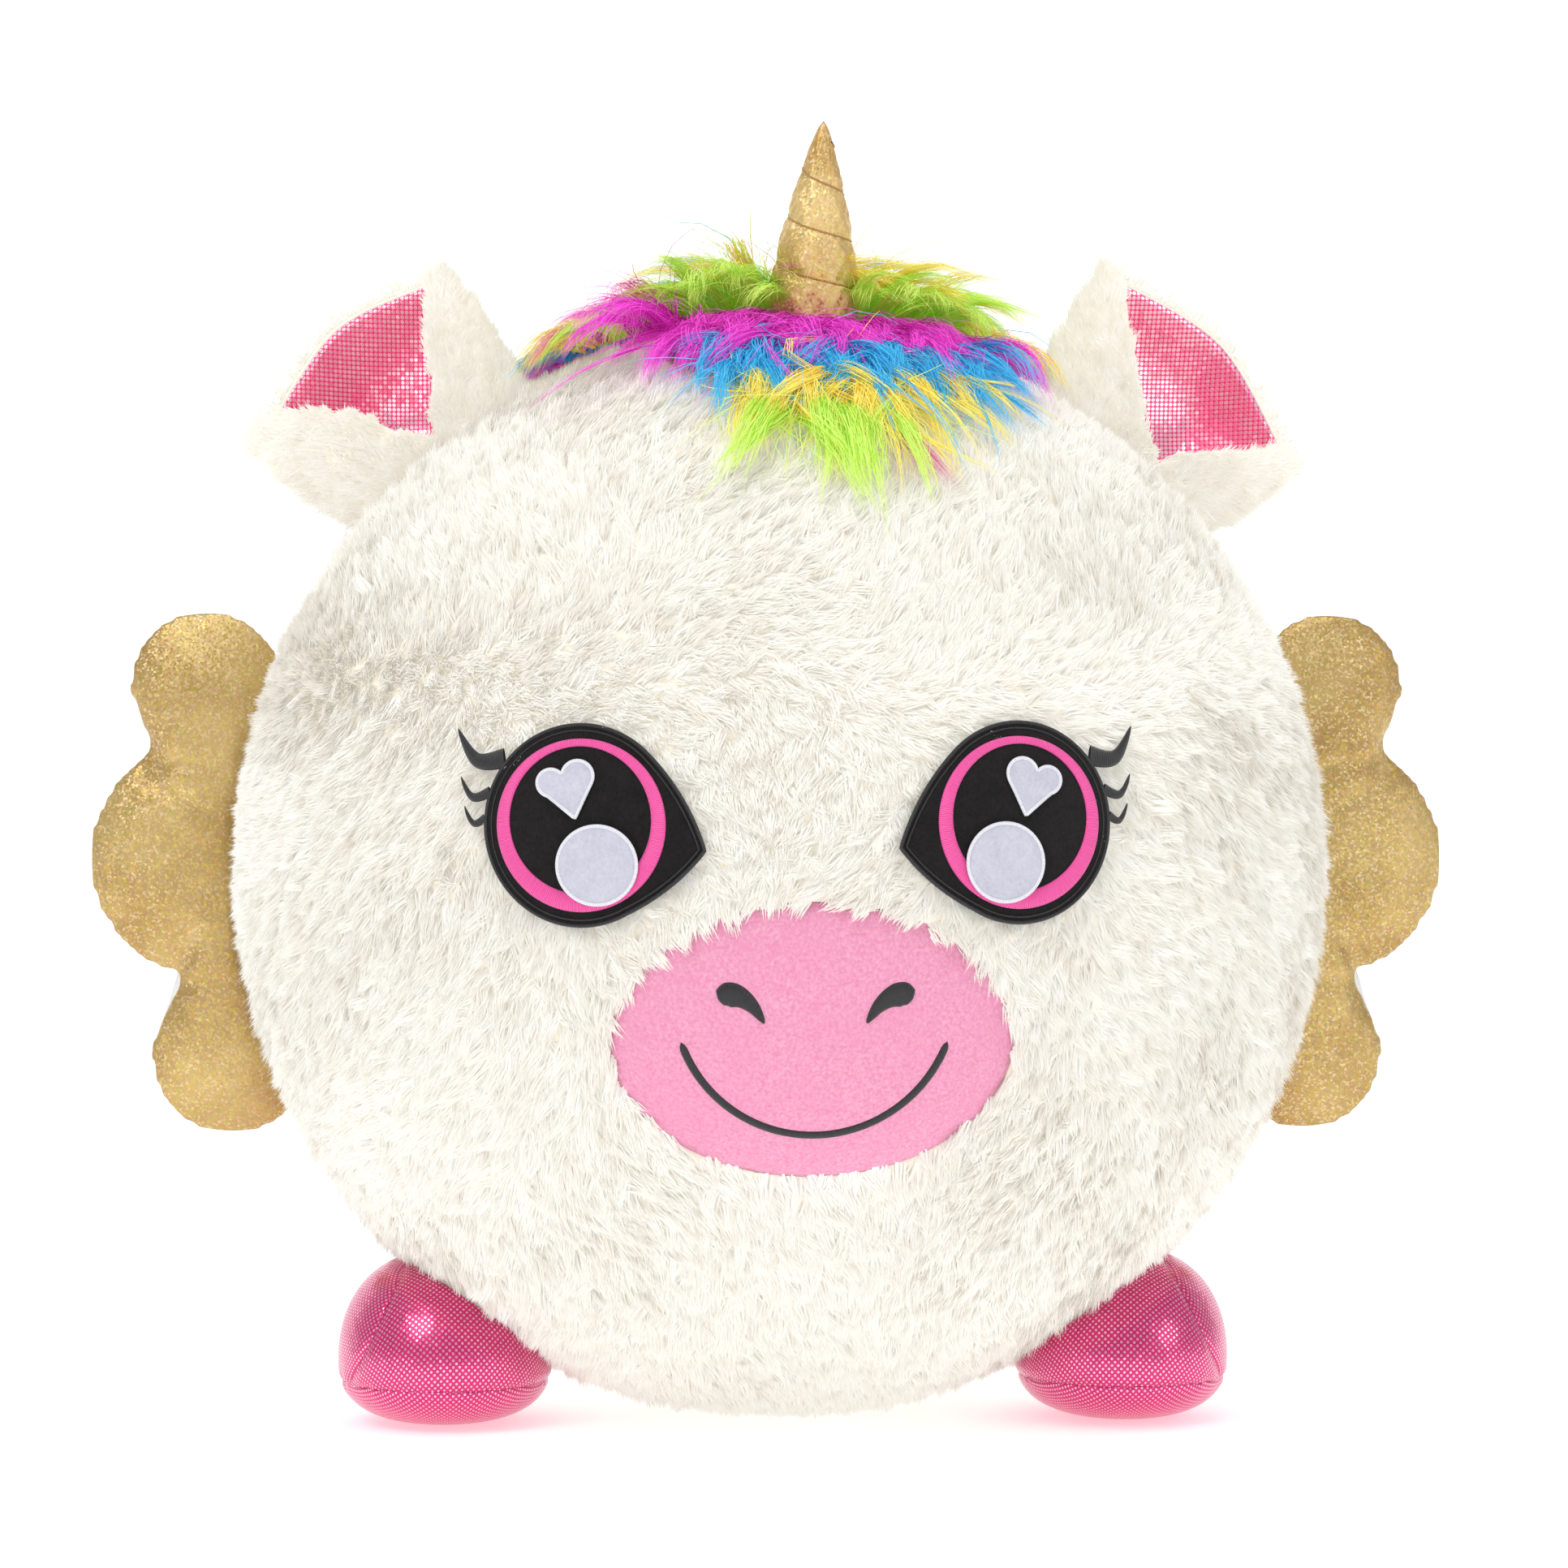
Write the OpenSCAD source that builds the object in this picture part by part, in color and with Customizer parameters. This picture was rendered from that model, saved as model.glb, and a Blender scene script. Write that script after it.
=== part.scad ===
// Giant plush unicorn: a round fur ball with a sewn-on face, horn, mane, ears, wings, feet and tail.
// Millimetres. +Z is up, the face looks along -Y, and the origin is on the floor under the ball.

/* [Body] */
// Outer radius of the fur ball
body_r = 300; // [285:5:315]
// How far the ball's weight flattens it on the floor
rest_sink = 3; // [2:0.5:5]
// Thickness of the fur cover, backing and pile together
cover_t = 15; // [12:1:18]
// Radius of the round base panel
base_r = 110; // [90:5:130]
// How far behind the middle the side seam runs, with the wings sewn into it
seam_y = 80; // [60:5:100]
// Gap between neighbouring pieces
gap = 0.5; // [0.4:0.1:0.8]

/* [Muzzle] */
// Width of the muzzle panel
muzzle_w = 202; // [180:2:220]
// Height of the muzzle panel
muzzle_h = 138; // [120:2:150]
// How far the middle of the muzzle lies below the middle of the ball
muzzle_drop = 80; // [70:1:90]
// Thickness of the embroidered nostrils and smile
stitch_t = 1.5; // [1:0.1:2]
// Width of the smile line
smile_w = 3.2; // [2.5:0.1:5]

/* [Eyes] */
// Distance between the middles of the two irises
eye_spacing = 216; // [200:2:230]
// How far the pair of eyes is sewn off the middle
eye_shift = -6; // [-8:1:8]
// Height of the irises above the middle of the ball
eye_rise = 27; // [15:1:40]
// Radius of the embroidered iris ring
ring_r = 42; // [38:1:44]
// Thickness of one layer of felt
felt_t = 1.6; // [1:0.1:2]

/* [Ears] */
// Angle of each ear from straight up
ear_angle = 40; // [36:1:46]
// Width of an ear
ear_w = 148; // [130:2:156]
// Depth of an ear from front to back
ear_d = 68; // [56:2:76]
// How far the middle of the ear cup stands off the ball
ear_rise = 22; // [16:1:30]
// Thickness of the fur ear shell
ear_t = 8; // [6:1:10]
// How far an ear bends to the front or back
ear_swing = 20; // [10:1:20]

/* [Horn] */
// Length of the horn above the fur
horn_l = 107; // [95:1:120]
// Radius of the horn at its root
horn_r = 24; // [20:1:26]
// Tilt of the horn to the front
horn_tilt = 10.5; // [6:0.5:14]
// Lean of the horn to the side
horn_lean = 2.7; // [0:0.1:5]
// How far the horn bends to the front or back
horn_swing = 15; // [8:1:15]
// Height gained by one turn of the spiral thread
horn_pitch = 27; // [22:1:32]

/* [Mane] */
// Thickness of the rainbow pile as it lies
mane_t = 14; // [10:1:18]

/* [Wings] */
// Full thickness of a wing
wing_t = 22; // [18:1:26]
// Thickness of the wing fabric
wing_fabric_t = 2; // [1.5:0.1:2.5]

/* [Feet] */
// Sideways distance of each foot from the middle
foot_x = 183; // [176:1:190]
// How far the feet stand in front of the middle
foot_front = 40; // [30:1:50]
// Half the width of a foot
foot_half_w = 57; // [52:1:60]
// Half the length of a foot
foot_half_l = 66; // [58:1:72]
// Half the height of a foot
foot_half_h = 46; // [44:1:48]
// Height of the seam between the sole and the upper panels
sole_h = 22; // [16:1:28]
// Thickness of the foil fabric
foil_t = 2; // [1.5:0.1:2.5]
// How far a foot bends in or out
foot_swing = 8; // [4:1:8]

/* [Tail] */
// Length of the tail tuft
tail_l = 150; // [120:5:170]
// Largest radius of the tail tuft
tail_r = 26; // [20:1:30]
// Angle of the tail's root from straight up
tail_angle = 110; // [100:1:118]

/* [Hidden] */

far = 1000;                                   // larger than the whole toy
fine = 200;                                   // facets round the ball
centre_z = body_r - rest_sink;                // height of the ball's middle
core_r = body_r - cover_t;                    // radius of the stuffing
muzzle_z = centre_z - muzzle_drop;
eye_z = centre_z + eye_rise;
eye_layer = 0.15;                             // air between two layers of felt
felt_r = body_r + gap;                        // underside of the eye felt
trim_r = felt_r + felt_t + eye_layer;         // underside of the ring and the heart
glint_r = trim_r + felt_t + eye_layer;        // underside of the round glint, which laps the ring
horn_root = body_r + 1;                       // hinge height of the horn, from the ball's middle
ear_root = body_r + 2;
foot_root = body_r + 1.5;
foot_z = foot_half_h - 1;                     // the sole is flattened by 1 mm
foot_turn = atan2(-foot_front, foot_x);
foot_reach = sqrt(foot_x * foot_x + foot_front * foot_front);
foot_tilt = 90 + atan2(centre_z - foot_z, foot_reach);
wing_hinge_x = body_r + 3;
wing_root_r = body_r;                         // inner edge of the wings, in their own plane
tail_root = 7;                                // the tail's rounded root stands this far off the ball
tail_hang = 35;                               // angle of the hanging tail from straight down

white_fur = "ivory";
foil_pink = "deeppink";
gold = "goldenrod";
black = "#151313";

// ---------- shared shapes ----------

module at_centre() translate([0, 0, centre_z]) children();

module ball(r) at_centre() sphere(r, $fn = fine);

module shell(r_in, r_out)
    difference() {
        ball(r_out);
        ball(r_in);
    }

module above(z) translate([-far / 2, -far / 2, z]) cube(far);

module in_front_of(y) translate([-far / 2, y - far, -far / 2]) cube([far, far, far * 2]);

module behind(y) translate([-far / 2, y, -far / 2]) cube([far, far, far * 2]);

module base_plug(r) translate([0, 0, -centre_z / 2]) cylinder(r = r, h = centre_z, $fn = 120);

// A flat outline in X and Z, pushed back onto the front of the ball.
module press_on_front(r_in, r_out)
    intersection() {
        shell(r_in, r_out);
        translate([0, -body_r / 3, 0]) rotate([90, 0, 0]) linear_extrude(body_r) children();
    }

module mirror_if(left) mirror([left ? 1 : 0, 0, 0]) children();

// ---------- body ----------

module body_stuffing()
    color("white") intersection() {
        ball(core_r - gap);
        above(cover_t - rest_sink + gap);
    }

module fur_cover() shell(core_r, body_r);

module front_fur_panel()
    color(white_fur) difference() {
        intersection() {
            fur_cover();
            in_front_of(seam_y - gap / 2);
        }
        base_plug(base_r + gap / 2);
        muzzle_hole();
    }

module back_fur_panel(left)
    color(white_fur) mirror_if(left) difference() {
        intersection() {
            fur_cover();
            behind(seam_y + gap / 2);
            translate([gap / 2, 0, -far / 2]) cube(far * 2);
        }
        base_plug(base_r + gap / 2);
    }

module base_fur_panel()
    color(white_fur) intersection() {
        fur_cover();
        base_plug(base_r - gap / 2);
        above(0);
    }

// ---------- muzzle ----------

module muzzle_outline(grow = 0)
    translate([0, muzzle_z]) scale([muzzle_w / 2 + grow, muzzle_h / 2 + grow]) circle(1, $fn = 120);

module muzzle_hole()
    translate([0, -body_r / 3, 0]) rotate([90, 0, 0]) linear_extrude(body_r) muzzle_outline(gap);

module muzzle_panel()
    color("pink") press_on_front(core_r, body_r - 1) muzzle_outline();

module face_stitch() color(black) press_on_front(body_r - 0.8, body_r + stitch_t) children();

module nostril(left)
    face_stitch() mirror_if(left) translate([0, muzzle_z]) {
        translate([42, 23]) circle(6, $fn = 40);
        polygon([[44, 28.6], [35, 26.5], [29, 20], [25, 11], [29, 15.5], [36, 19], [41, 17.4]]);
    }

smile_half_w = 65;                            // half the distance between the ends of the smile
smile_dip = 46;                               // how far the smile dips below its ends
smile_r = (smile_half_w * smile_half_w + smile_dip * smile_dip) / (2 * smile_dip);

module smile_stitch()
    face_stitch() translate([0, muzzle_z]) {
        intersection() {
            translate([0, smile_r - smile_dip]) difference() {
                circle(smile_r + smile_w / 2, $fn = 160);
                circle(smile_r - smile_w / 2, $fn = 160);
            }
            translate([-far / 2, -far]) square(far);
        }
        for (side = [-1, 1]) translate([side * smile_half_w, 0]) circle(smile_w * 0.62, $fn = 24);
    }

// ---------- eyes, drawn for the right one with the outer corner at +X ----------

module at_eye(left)
    translate([eye_shift, 0]) mirror_if(left) translate([eye_spacing / 2, eye_z]) children();

module eye_felt(left)
    color(black) press_on_front(felt_r, felt_r + felt_t) at_eye(left) {
        scale([47.5, 50]) circle(1, $fn = 96);
        polygon([[-20, 46], [-40, 25], [-48, 8], [-61, -12.5], [-40, -31], [-13, -48.5]]);
    }

module iris_ring(left)
    color("hotpink") press_on_front(trim_r, trim_r + felt_t) at_eye(left) difference() {
        circle(ring_r, $fn = 96);
        translate([0, 2]) scale([35.5, 37.5]) circle(1, $fn = 96);
    }

module heart_glint(left)
    color("lavender") press_on_front(trim_r, trim_r + felt_t) at_eye(left)
        translate([7, 19]) rotate(-8) {
            for (side = [-1, 1]) translate([side * 6.5, 4]) circle(7.3, $fn = 40);
            polygon([[-13.1, 1], [0, -14.5], [13.1, 1], [6, 6], [0, 7], [-6, 6]]);
        }

module round_glint(left)
    color("lavender") press_on_front(glint_r, glint_r + felt_t) at_eye(left)
        translate([-8, -19.5]) circle(19.8, $fn = 64);

// One lash is a thin crescent that sweeps up to its tip.
module lash(root, tip, thick)
    polygon([root, (root + tip) / 2 + [2, -thick], tip, (root + tip) / 2 + [-1, thick], root + [-1.5, thick * 2.4]]);

module eyelashes(left)
    color(black) press_on_front(felt_r, felt_r + stitch_t) at_eye(left) difference() {
        union() {
            lash([41, 27], [60, 47], 2.6);
            lash([45, 12.5], [58, 24], 1.6);
            lash([46, 1], [57, 9.5], 1.3);
        }
        scale([47.5 + gap, 50 + gap]) circle(1, $fn = 96);
    }

// ---------- mane ----------

mane_split_y = -body_r * sin(horn_tilt);      // the two mane panels meet in line with the horn

module mane(outline_front)
    difference() {
        intersection() {
            shell(body_r + gap, body_r + mane_t);
            translate([0, 0, centre_z]) linear_extrude(body_r + mane_t) children();
            if (outline_front) in_front_of(mane_split_y - gap / 2);
            else behind(mane_split_y + gap / 2);
        }
        on_crown() cylinder(r = horn_r + 6, h = far, $fn = 64);
    }

module crown_outline() translate([4, 20]) scale([124, 98]) circle(1, $fn = 96);

module front_mane_panel()
    color("magenta") mane(true) {
        crown_outline();
        translate([18, -150]) scale([85, 100]) circle(1, $fn = 96);
    }

module back_mane_panel()
    color("yellowgreen") mane(false) {
        crown_outline();
        translate([0, 120]) scale([80, 100]) circle(1, $fn = 96);
    }

// ---------- horn, drawn along +Z from the ball's middle ----------

module on_crown() at_centre() rotate([horn_tilt, horn_lean, 0]) children();

horn_steps = 16;
horn_fabric_t = 1.6;

function horn_radius(h) = horn_r * sqrt(max(0, 1 - h / horn_l));

// Half the horn's profile, with a coned root that leaves room for it to bend.
module horn_profile(inset)
    polygon(concat(
        [[0, horn_root + inset * 1.5]],
        [for (i = [1 : horn_steps - 1])
            let (h = (horn_l - inset * 3) * i / horn_steps)
            if (h > horn_r * tan(horn_swing) + 1)
            [horn_radius(h + inset) - inset, horn_root + h]],
        [[0, horn_root + horn_l - inset * 3]]
    ));

module horn_cover()
    color(gold) on_crown() rotate_extrude($fn = 96) difference() {
        horn_profile(0);
        horn_profile(horn_fabric_t);
    }

module horn_stuffing()
    color("white") on_crown() rotate_extrude($fn = 96) horn_profile(horn_fabric_t + gap);

thread_r = 0.9;
thread_sides = 8;
thread_rings_per_turn = 20;
thread_start = 16;
thread_end = 92;
thread_rings = floor((thread_end - thread_start) / horn_pitch * thread_rings_per_turn);

// The thread winds downwards as it passes to the right across the front.
function thread_angle(i) = -i * 360 / thread_rings_per_turn;
function thread_height(i) = thread_start + i * horn_pitch / thread_rings_per_turn;
function thread_ring(i) = [
    for (k = [0 : thread_sides - 1])
        let (
            h = thread_height(i),
            turn = k * 360 / thread_sides,
            reach = horn_radius(h) + thread_r * 1.7 + thread_r * cos(turn)
        )
        [reach * cos(thread_angle(i)), reach * sin(thread_angle(i)),
         horn_root + h + thread_r * sin(turn)]
];

module horn_spiral_thread() {
    rings = [for (i = [0 : thread_rings]) thread_ring(i)];
    points = [for (ring = rings) for (p = ring) p];
    n = thread_sides;
    sides = [for (i = [0 : thread_rings - 1]) for (k = [0 : n - 1])
        [i * n + k, i * n + (k + 1) % n, (i + 1) * n + (k + 1) % n, (i + 1) * n + k]];
    first_cap = [for (k = [n - 1 : -1 : 0]) k];
    last_cap = [for (k = [0 : n - 1]) thread_rings * n + k];
    color("darkgoldenrod") on_crown() polyhedron(points, concat(sides, [first_cap, last_cap]));
}

// ---------- ears, drawn along +Z from the ball's middle ----------

module at_ear(left) mirror_if(left) at_centre() rotate([0, ear_angle, 0]) children();

ear_steps = 16;

// A round cup with an oval section, its axis along Y.
module ear_cup(inset)
    translate([0, 0, body_r + ear_rise]) rotate([90, 0, 0]) rotate_extrude($fn = 96)
        polygon([for (i = [0 : ear_steps]) let (a = 180 * i / ear_steps - 90)
            [(ear_w / 2 - inset) * cos(a), (ear_d / 2 - inset) * sin(a)]]);

// What is left when the front is opened and the root is cut to a shallow V that can rock on the ball.
module ear_space()
    difference() {
        translate([0, 0, ear_root]) intersection() {
            rotate([ear_swing + 2, 0, 0]) translate([-far / 2, -far / 2, 0]) cube(far);
            rotate([-ear_swing - 2, 0, 0]) translate([-far / 2, -far / 2, 0]) cube(far);
        }
        translate([0, -ear_d * 0.42, ear_root + 2]) rotate([-24, 0, 0])
            translate([-far / 2, -far, 0]) cube(far);
    }

module ear_shell(left)
    color(white_fur) at_ear(left) intersection() {
        difference() {
            ear_cup(0);
            ear_cup(ear_t);
        }
        ear_space();
    }

module ear_lining(left)
    color(foil_pink) at_ear(left) intersection() {
        difference() {
            ear_cup(ear_t + gap);
            ear_cup(ear_t + gap + foil_t);
        }
        ear_space();
    }

// ---------- wings, drawn for the right one in X and Z about the ball's middle ----------

module wing_outline(inset)
    difference() {
        union() {
            translate([316, 98]) circle(44 - inset, $fn = 64);
            translate([306, 66]) circle(48 - inset, $fn = 64);
            translate([319, -6]) circle(66 - inset, $fn = 64);
            translate([302, -104]) circle(46 - inset, $fn = 64);
            translate([260, -104 + inset]) square([50, 170 - inset]);
        }
        circle(wing_root_r + inset, $fn = fine);
    }

module wing_slab(left, y, thick, inset)
    mirror_if(left) translate([0, y + thick, centre_z]) rotate([90, 0, 0])
        linear_extrude(thick) wing_outline(inset);

// Half of the wing's cover: a face with a rim that turns in round the batting.
module wing_half(left, front) {
    half_t = (wing_t - gap) / 2;
    y = front ? seam_y - wing_t / 2 : seam_y + gap / 2;
    color(gold) difference() {
        wing_slab(left, y, half_t, 0);
        wing_slab(left, front ? y + wing_fabric_t : y - wing_fabric_t, half_t, wing_fabric_t);
    }
}

module wing_batting(left) {
    thick = wing_t - 2 * (wing_fabric_t + gap);
    color("white") wing_slab(left, seam_y - thick / 2, thick, wing_fabric_t + gap);
}

// ---------- feet, drawn for the right one ----------

module foot_solid(inset)
    translate([foot_x, -foot_front, foot_z])
        scale([foot_half_w - inset, foot_half_l - inset, foot_half_h - inset]) sphere(1, $fn = 96);

// Room under the ball, cut to a shallow V that can rock on it, and flat on the floor.
module foot_space(inset)
    intersection() {
        above(inset);
        at_centre() rotate([0, foot_tilt, foot_turn]) translate([0, 0, foot_root + inset])
            for_both_sides_of_foot();
    }

module for_both_sides_of_foot()
    intersection() {
        rotate([0, foot_swing, 0]) translate([-far / 2, -far / 2, 0]) cube(far);
        rotate([0, -foot_swing, 0]) translate([-far / 2, -far / 2, 0]) cube(far);
    }

module foot_skin()
    difference() {
        intersection() {
            foot_solid(0);
            foot_space(0);
        }
        intersection() {
            foot_solid(foil_t);
            foot_space(foil_t);
        }
    }

side_seam_tilt = 28;                          // the side seam leans in towards the top of the foot

module outer_half(shift)
    translate([foot_x + foot_half_w * 0.62 + shift, 0, foot_half_h]) rotate([0, -side_seam_tilt, 0])
        translate([0, -far / 2, -far / 2]) cube(far);

module foot_upper(left)
    color(foil_pink) mirror_if(left) difference() {
        intersection() {
            foot_skin();
            above(sole_h + gap / 2);
        }
        outer_half(0);
    }

module foot_side(left)
    color(foil_pink) mirror_if(left) intersection() {
        foot_skin();
        above(sole_h + gap / 2);
        outer_half(gap);
    }

module foot_sole(left)
    color(foil_pink) mirror_if(left) difference() {
        foot_skin();
        above(sole_h - gap / 2);
    }

module foot_stuffing(left)
    color("white") mirror_if(left) intersection() {
        foot_solid(foil_t + gap);
        foot_space(foil_t + gap);
    }

// ---------- tail, drawn hanging from its own root ----------

tail_steps = 14;
tail_neck_r = 6;

// Rounded neck, full middle and pointed end.
function tail_radius(s) = tail_neck_r * (1 - s) + (tail_r - tail_neck_r / 2) * sin(180 * pow(s, 1.3));

module tail()
    color("yellowgreen")
        at_centre() rotate([-tail_angle, 0, 0]) translate([0, 0, body_r + tail_root])
            rotate([tail_angle + 180 + tail_hang, 0, 0])
                rotate_extrude($fn = 64) polygon(concat(
                    [[0, -tail_neck_r]],
                    [for (a = [-60 : 30 : 0]) [tail_neck_r * cos(a), tail_neck_r * sin(a)]],
                    [for (i = [1 : tail_steps - 1]) [tail_radius(i / tail_steps), tail_l * i / tail_steps]],
                    [[0, tail_l]]
                ));

body_stuffing();
front_fur_panel();
back_fur_panel(true);  // back_left_fur_panel
back_fur_panel(false);  // back_right_fur_panel
base_fur_panel();
muzzle_panel();
nostril(true);  // left_nostril
nostril(false);  // right_nostril
smile_stitch();
eye_felt(true);  // left_eye_felt
iris_ring(true);  // left_iris_ring
heart_glint(true);  // left_heart_glint
round_glint(true);  // left_round_glint
eyelashes(true);  // left_eyelashes
eye_felt(false);  // right_eye_felt
iris_ring(false);  // right_iris_ring
heart_glint(false);  // right_heart_glint
round_glint(false);  // right_round_glint
eyelashes(false);  // right_eyelashes
front_mane_panel();
back_mane_panel();
horn_cover();
horn_stuffing();
horn_spiral_thread();
ear_shell(true);  // left_ear_shell
ear_lining(true);  // left_ear_lining
ear_shell(false);  // right_ear_shell
ear_lining(false);  // right_ear_lining
wing_half(true, true);  // left_wing_front
wing_half(true, false);  // left_wing_back
wing_batting(true);  // left_wing_batting
wing_half(false, true);  // right_wing_front
wing_half(false, false);  // right_wing_back
wing_batting(false);  // right_wing_batting
foot_stuffing(true);  // left_foot_stuffing
foot_upper(true);  // left_foot_upper
foot_side(true);  // left_foot_side
foot_sole(true);  // left_foot_sole
foot_stuffing(false);  // right_foot_stuffing
foot_upper(false);  // right_foot_upper
foot_side(false);  // right_foot_side
foot_sole(false);  // right_foot_sole
tail();
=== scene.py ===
# %% [markdown]
# # A giant plush unicorn
# The toy is a round ball of long-pile fur with a face sewn on its front, a gold horn, foil-lined
# ears, padded wings, foil feet and a rainbow mane. This notebook dresses the measured frame of
# the toy: every piece below takes its place from that frame and only adds fabric, pile and
# thread. The frame comes first, and nothing here moves or resizes it.

# %% Load the frame
import math

import bmesh
import bpy
import numpy as np
from mathutils import Matrix, Vector


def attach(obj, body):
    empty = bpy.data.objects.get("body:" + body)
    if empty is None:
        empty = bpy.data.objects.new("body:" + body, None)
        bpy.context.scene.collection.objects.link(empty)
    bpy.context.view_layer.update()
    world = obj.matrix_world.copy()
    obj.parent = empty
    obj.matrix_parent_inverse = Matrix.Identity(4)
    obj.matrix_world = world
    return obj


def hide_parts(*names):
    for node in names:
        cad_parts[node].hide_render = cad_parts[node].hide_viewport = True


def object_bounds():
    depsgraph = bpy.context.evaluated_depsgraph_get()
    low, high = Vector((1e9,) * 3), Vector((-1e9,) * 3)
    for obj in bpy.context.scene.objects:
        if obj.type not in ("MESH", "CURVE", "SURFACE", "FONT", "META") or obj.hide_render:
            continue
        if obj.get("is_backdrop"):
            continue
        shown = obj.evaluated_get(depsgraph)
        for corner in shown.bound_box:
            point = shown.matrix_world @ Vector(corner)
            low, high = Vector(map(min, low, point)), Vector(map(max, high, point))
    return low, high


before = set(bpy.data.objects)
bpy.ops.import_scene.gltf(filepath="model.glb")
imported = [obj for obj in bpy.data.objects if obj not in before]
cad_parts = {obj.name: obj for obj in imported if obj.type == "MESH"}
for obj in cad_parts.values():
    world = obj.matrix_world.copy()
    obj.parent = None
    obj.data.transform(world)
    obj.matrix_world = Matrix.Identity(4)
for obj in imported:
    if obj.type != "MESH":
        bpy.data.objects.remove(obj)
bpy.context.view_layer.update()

MM = 0.001

# %% [markdown]
# ## Camera
# A long lens from a little over two and a half metres keeps the ball round and the wings flat.
# It stands level with the middle of the ball and slightly to one side, so that the face is seen
# almost straight on. Only the place and the lens are set.

# %% Camera
turned = math.radians(3.5)
camera_data = bpy.data.cameras.new("camera")
camera_data.sensor_width = 36
camera_data.lens = 108.6
camera = bpy.data.objects.new("camera", camera_data)
camera.location = (-0.1565, -2.5953, 0.3434)
camera.rotation_euler = Vector((math.sin(turned), math.cos(turned), 0)).to_track_quat("-Z", "Y").to_euler()
bpy.context.scene.collection.objects.link(camera)
bpy.context.scene.camera = camera
print("camera", round((camera.location - Vector((0, 0, 0.297))).length, 3), "m from the ball")

# %% [markdown]
# ## Room and light
# White fur needs light from all round, or the hollows between its tufts go grey. A bright
# surrounding sky does most of the work, one large soft lamp from the upper left gives the ball
# its shape, and a weaker one fills the right. The floor is a pale sheet that curves up behind,
# swept from one profile, so there is no line between floor and wall.

# %% Light and floor
scene = bpy.context.scene
scene.view_settings.view_transform = "Standard"
world = bpy.data.worlds.new("studio")
scene.world = world
world.use_nodes = True
world.node_tree.nodes["Background"].inputs["Color"].default_value = (1, 1, 1, 1)
world.node_tree.nodes["Background"].inputs["Strength"].default_value = 0.53


def soft_lamp(name, place, size, watts):
    data = bpy.data.lights.new(name, "AREA")
    data.shape = "DISK"
    data.size = size
    data.energy = watts
    lamp = bpy.data.objects.new(name, data)
    lamp.location = place
    lamp.rotation_euler = (Vector((0, 0, 0.3)) - Vector(place)).to_track_quat("-Z", "Y").to_euler()
    scene.collection.objects.link(lamp)
    return lamp


soft_lamp("key_lamp", (-1.5, -2.0, 2.3), 1.5, 22)
soft_lamp("fill_lamp", (2.2, -1.8, 1.2), 1.4, 8)
soft_lamp("top_lamp", (0.1, -0.9, 2.9), 1.6, 21)


def mesh_piece(name, bm, *materials):
    """Turns a bmesh into a smooth-shaded object with its place in its mesh."""
    mesh = bpy.data.meshes.new(name)
    bm.to_mesh(mesh)
    bm.free()
    mesh.shade_smooth()
    piece = bpy.data.objects.new(name, mesh)
    for material in materials:
        mesh.materials.append(material)
    scene.collection.objects.link(piece)
    return piece


def sweep_floor(half_width=12.0, back=8.0, bend=1.5):
    bm = bmesh.new()
    profile = [Vector((-half_width, -12, 0)), Vector((-half_width, back, 0))]
    for step in range(1, 13):
        a = math.radians(90) * step / 12
        profile.append(Vector((-half_width, back + bend * math.sin(a), bend - bend * math.cos(a))))
    profile.append(Vector((-half_width, back + bend, 9)))
    verts = [bm.verts.new(p) for p in profile]
    edges = [bm.edges.new(pair) for pair in zip(verts, verts[1:])]
    out = bmesh.ops.extrude_edge_only(bm, edges=edges)["geom"]
    moved = [v for v in out if isinstance(v, bmesh.types.BMVert)]
    bmesh.ops.translate(bm, verts=moved, vec=(2 * half_width, 0, 0))
    bmesh.ops.recalc_face_normals(bm, faces=bm.faces[:])
    if bm.faces[0].normal.z < 0:
        bmesh.ops.reverse_faces(bm, faces=bm.faces[:])
    return bm


# %% [markdown]
# ## Plain finishes and finishes with a pattern
# Every finish starts from the same shader. `finish` sets the values that are the same all over
# on the shader itself, and `Nodes` adds a pattern where the real fabric has one. Patterns read
# object coordinates in metres, or the piece's own UV map in millimetres, so that a dot or a
# stitch has its real size on every piece.

# %% Helpers for finishes
def linear(code):
    """A hex colour as the shader wants it."""
    parts = [int(code[i:i + 2], 16) / 255 for i in (0, 2, 4)]
    return tuple(c / 12.92 if c <= 0.04045 else ((c + 0.055) / 1.055) ** 2.4 for c in parts) + (1,)


def finish(name, code, rough=0.8, **sockets):
    material = bpy.data.materials.new(name)
    material.use_nodes = True
    shader = material.node_tree.nodes["Principled BSDF"]
    shader.inputs["Base Color"].default_value = linear(code)
    shader.inputs["Roughness"].default_value = rough
    for key, value in sockets.items():
        shader.inputs[key.replace("_", " ")].default_value = value
    material.diffuse_color = linear(code)
    return material


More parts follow.
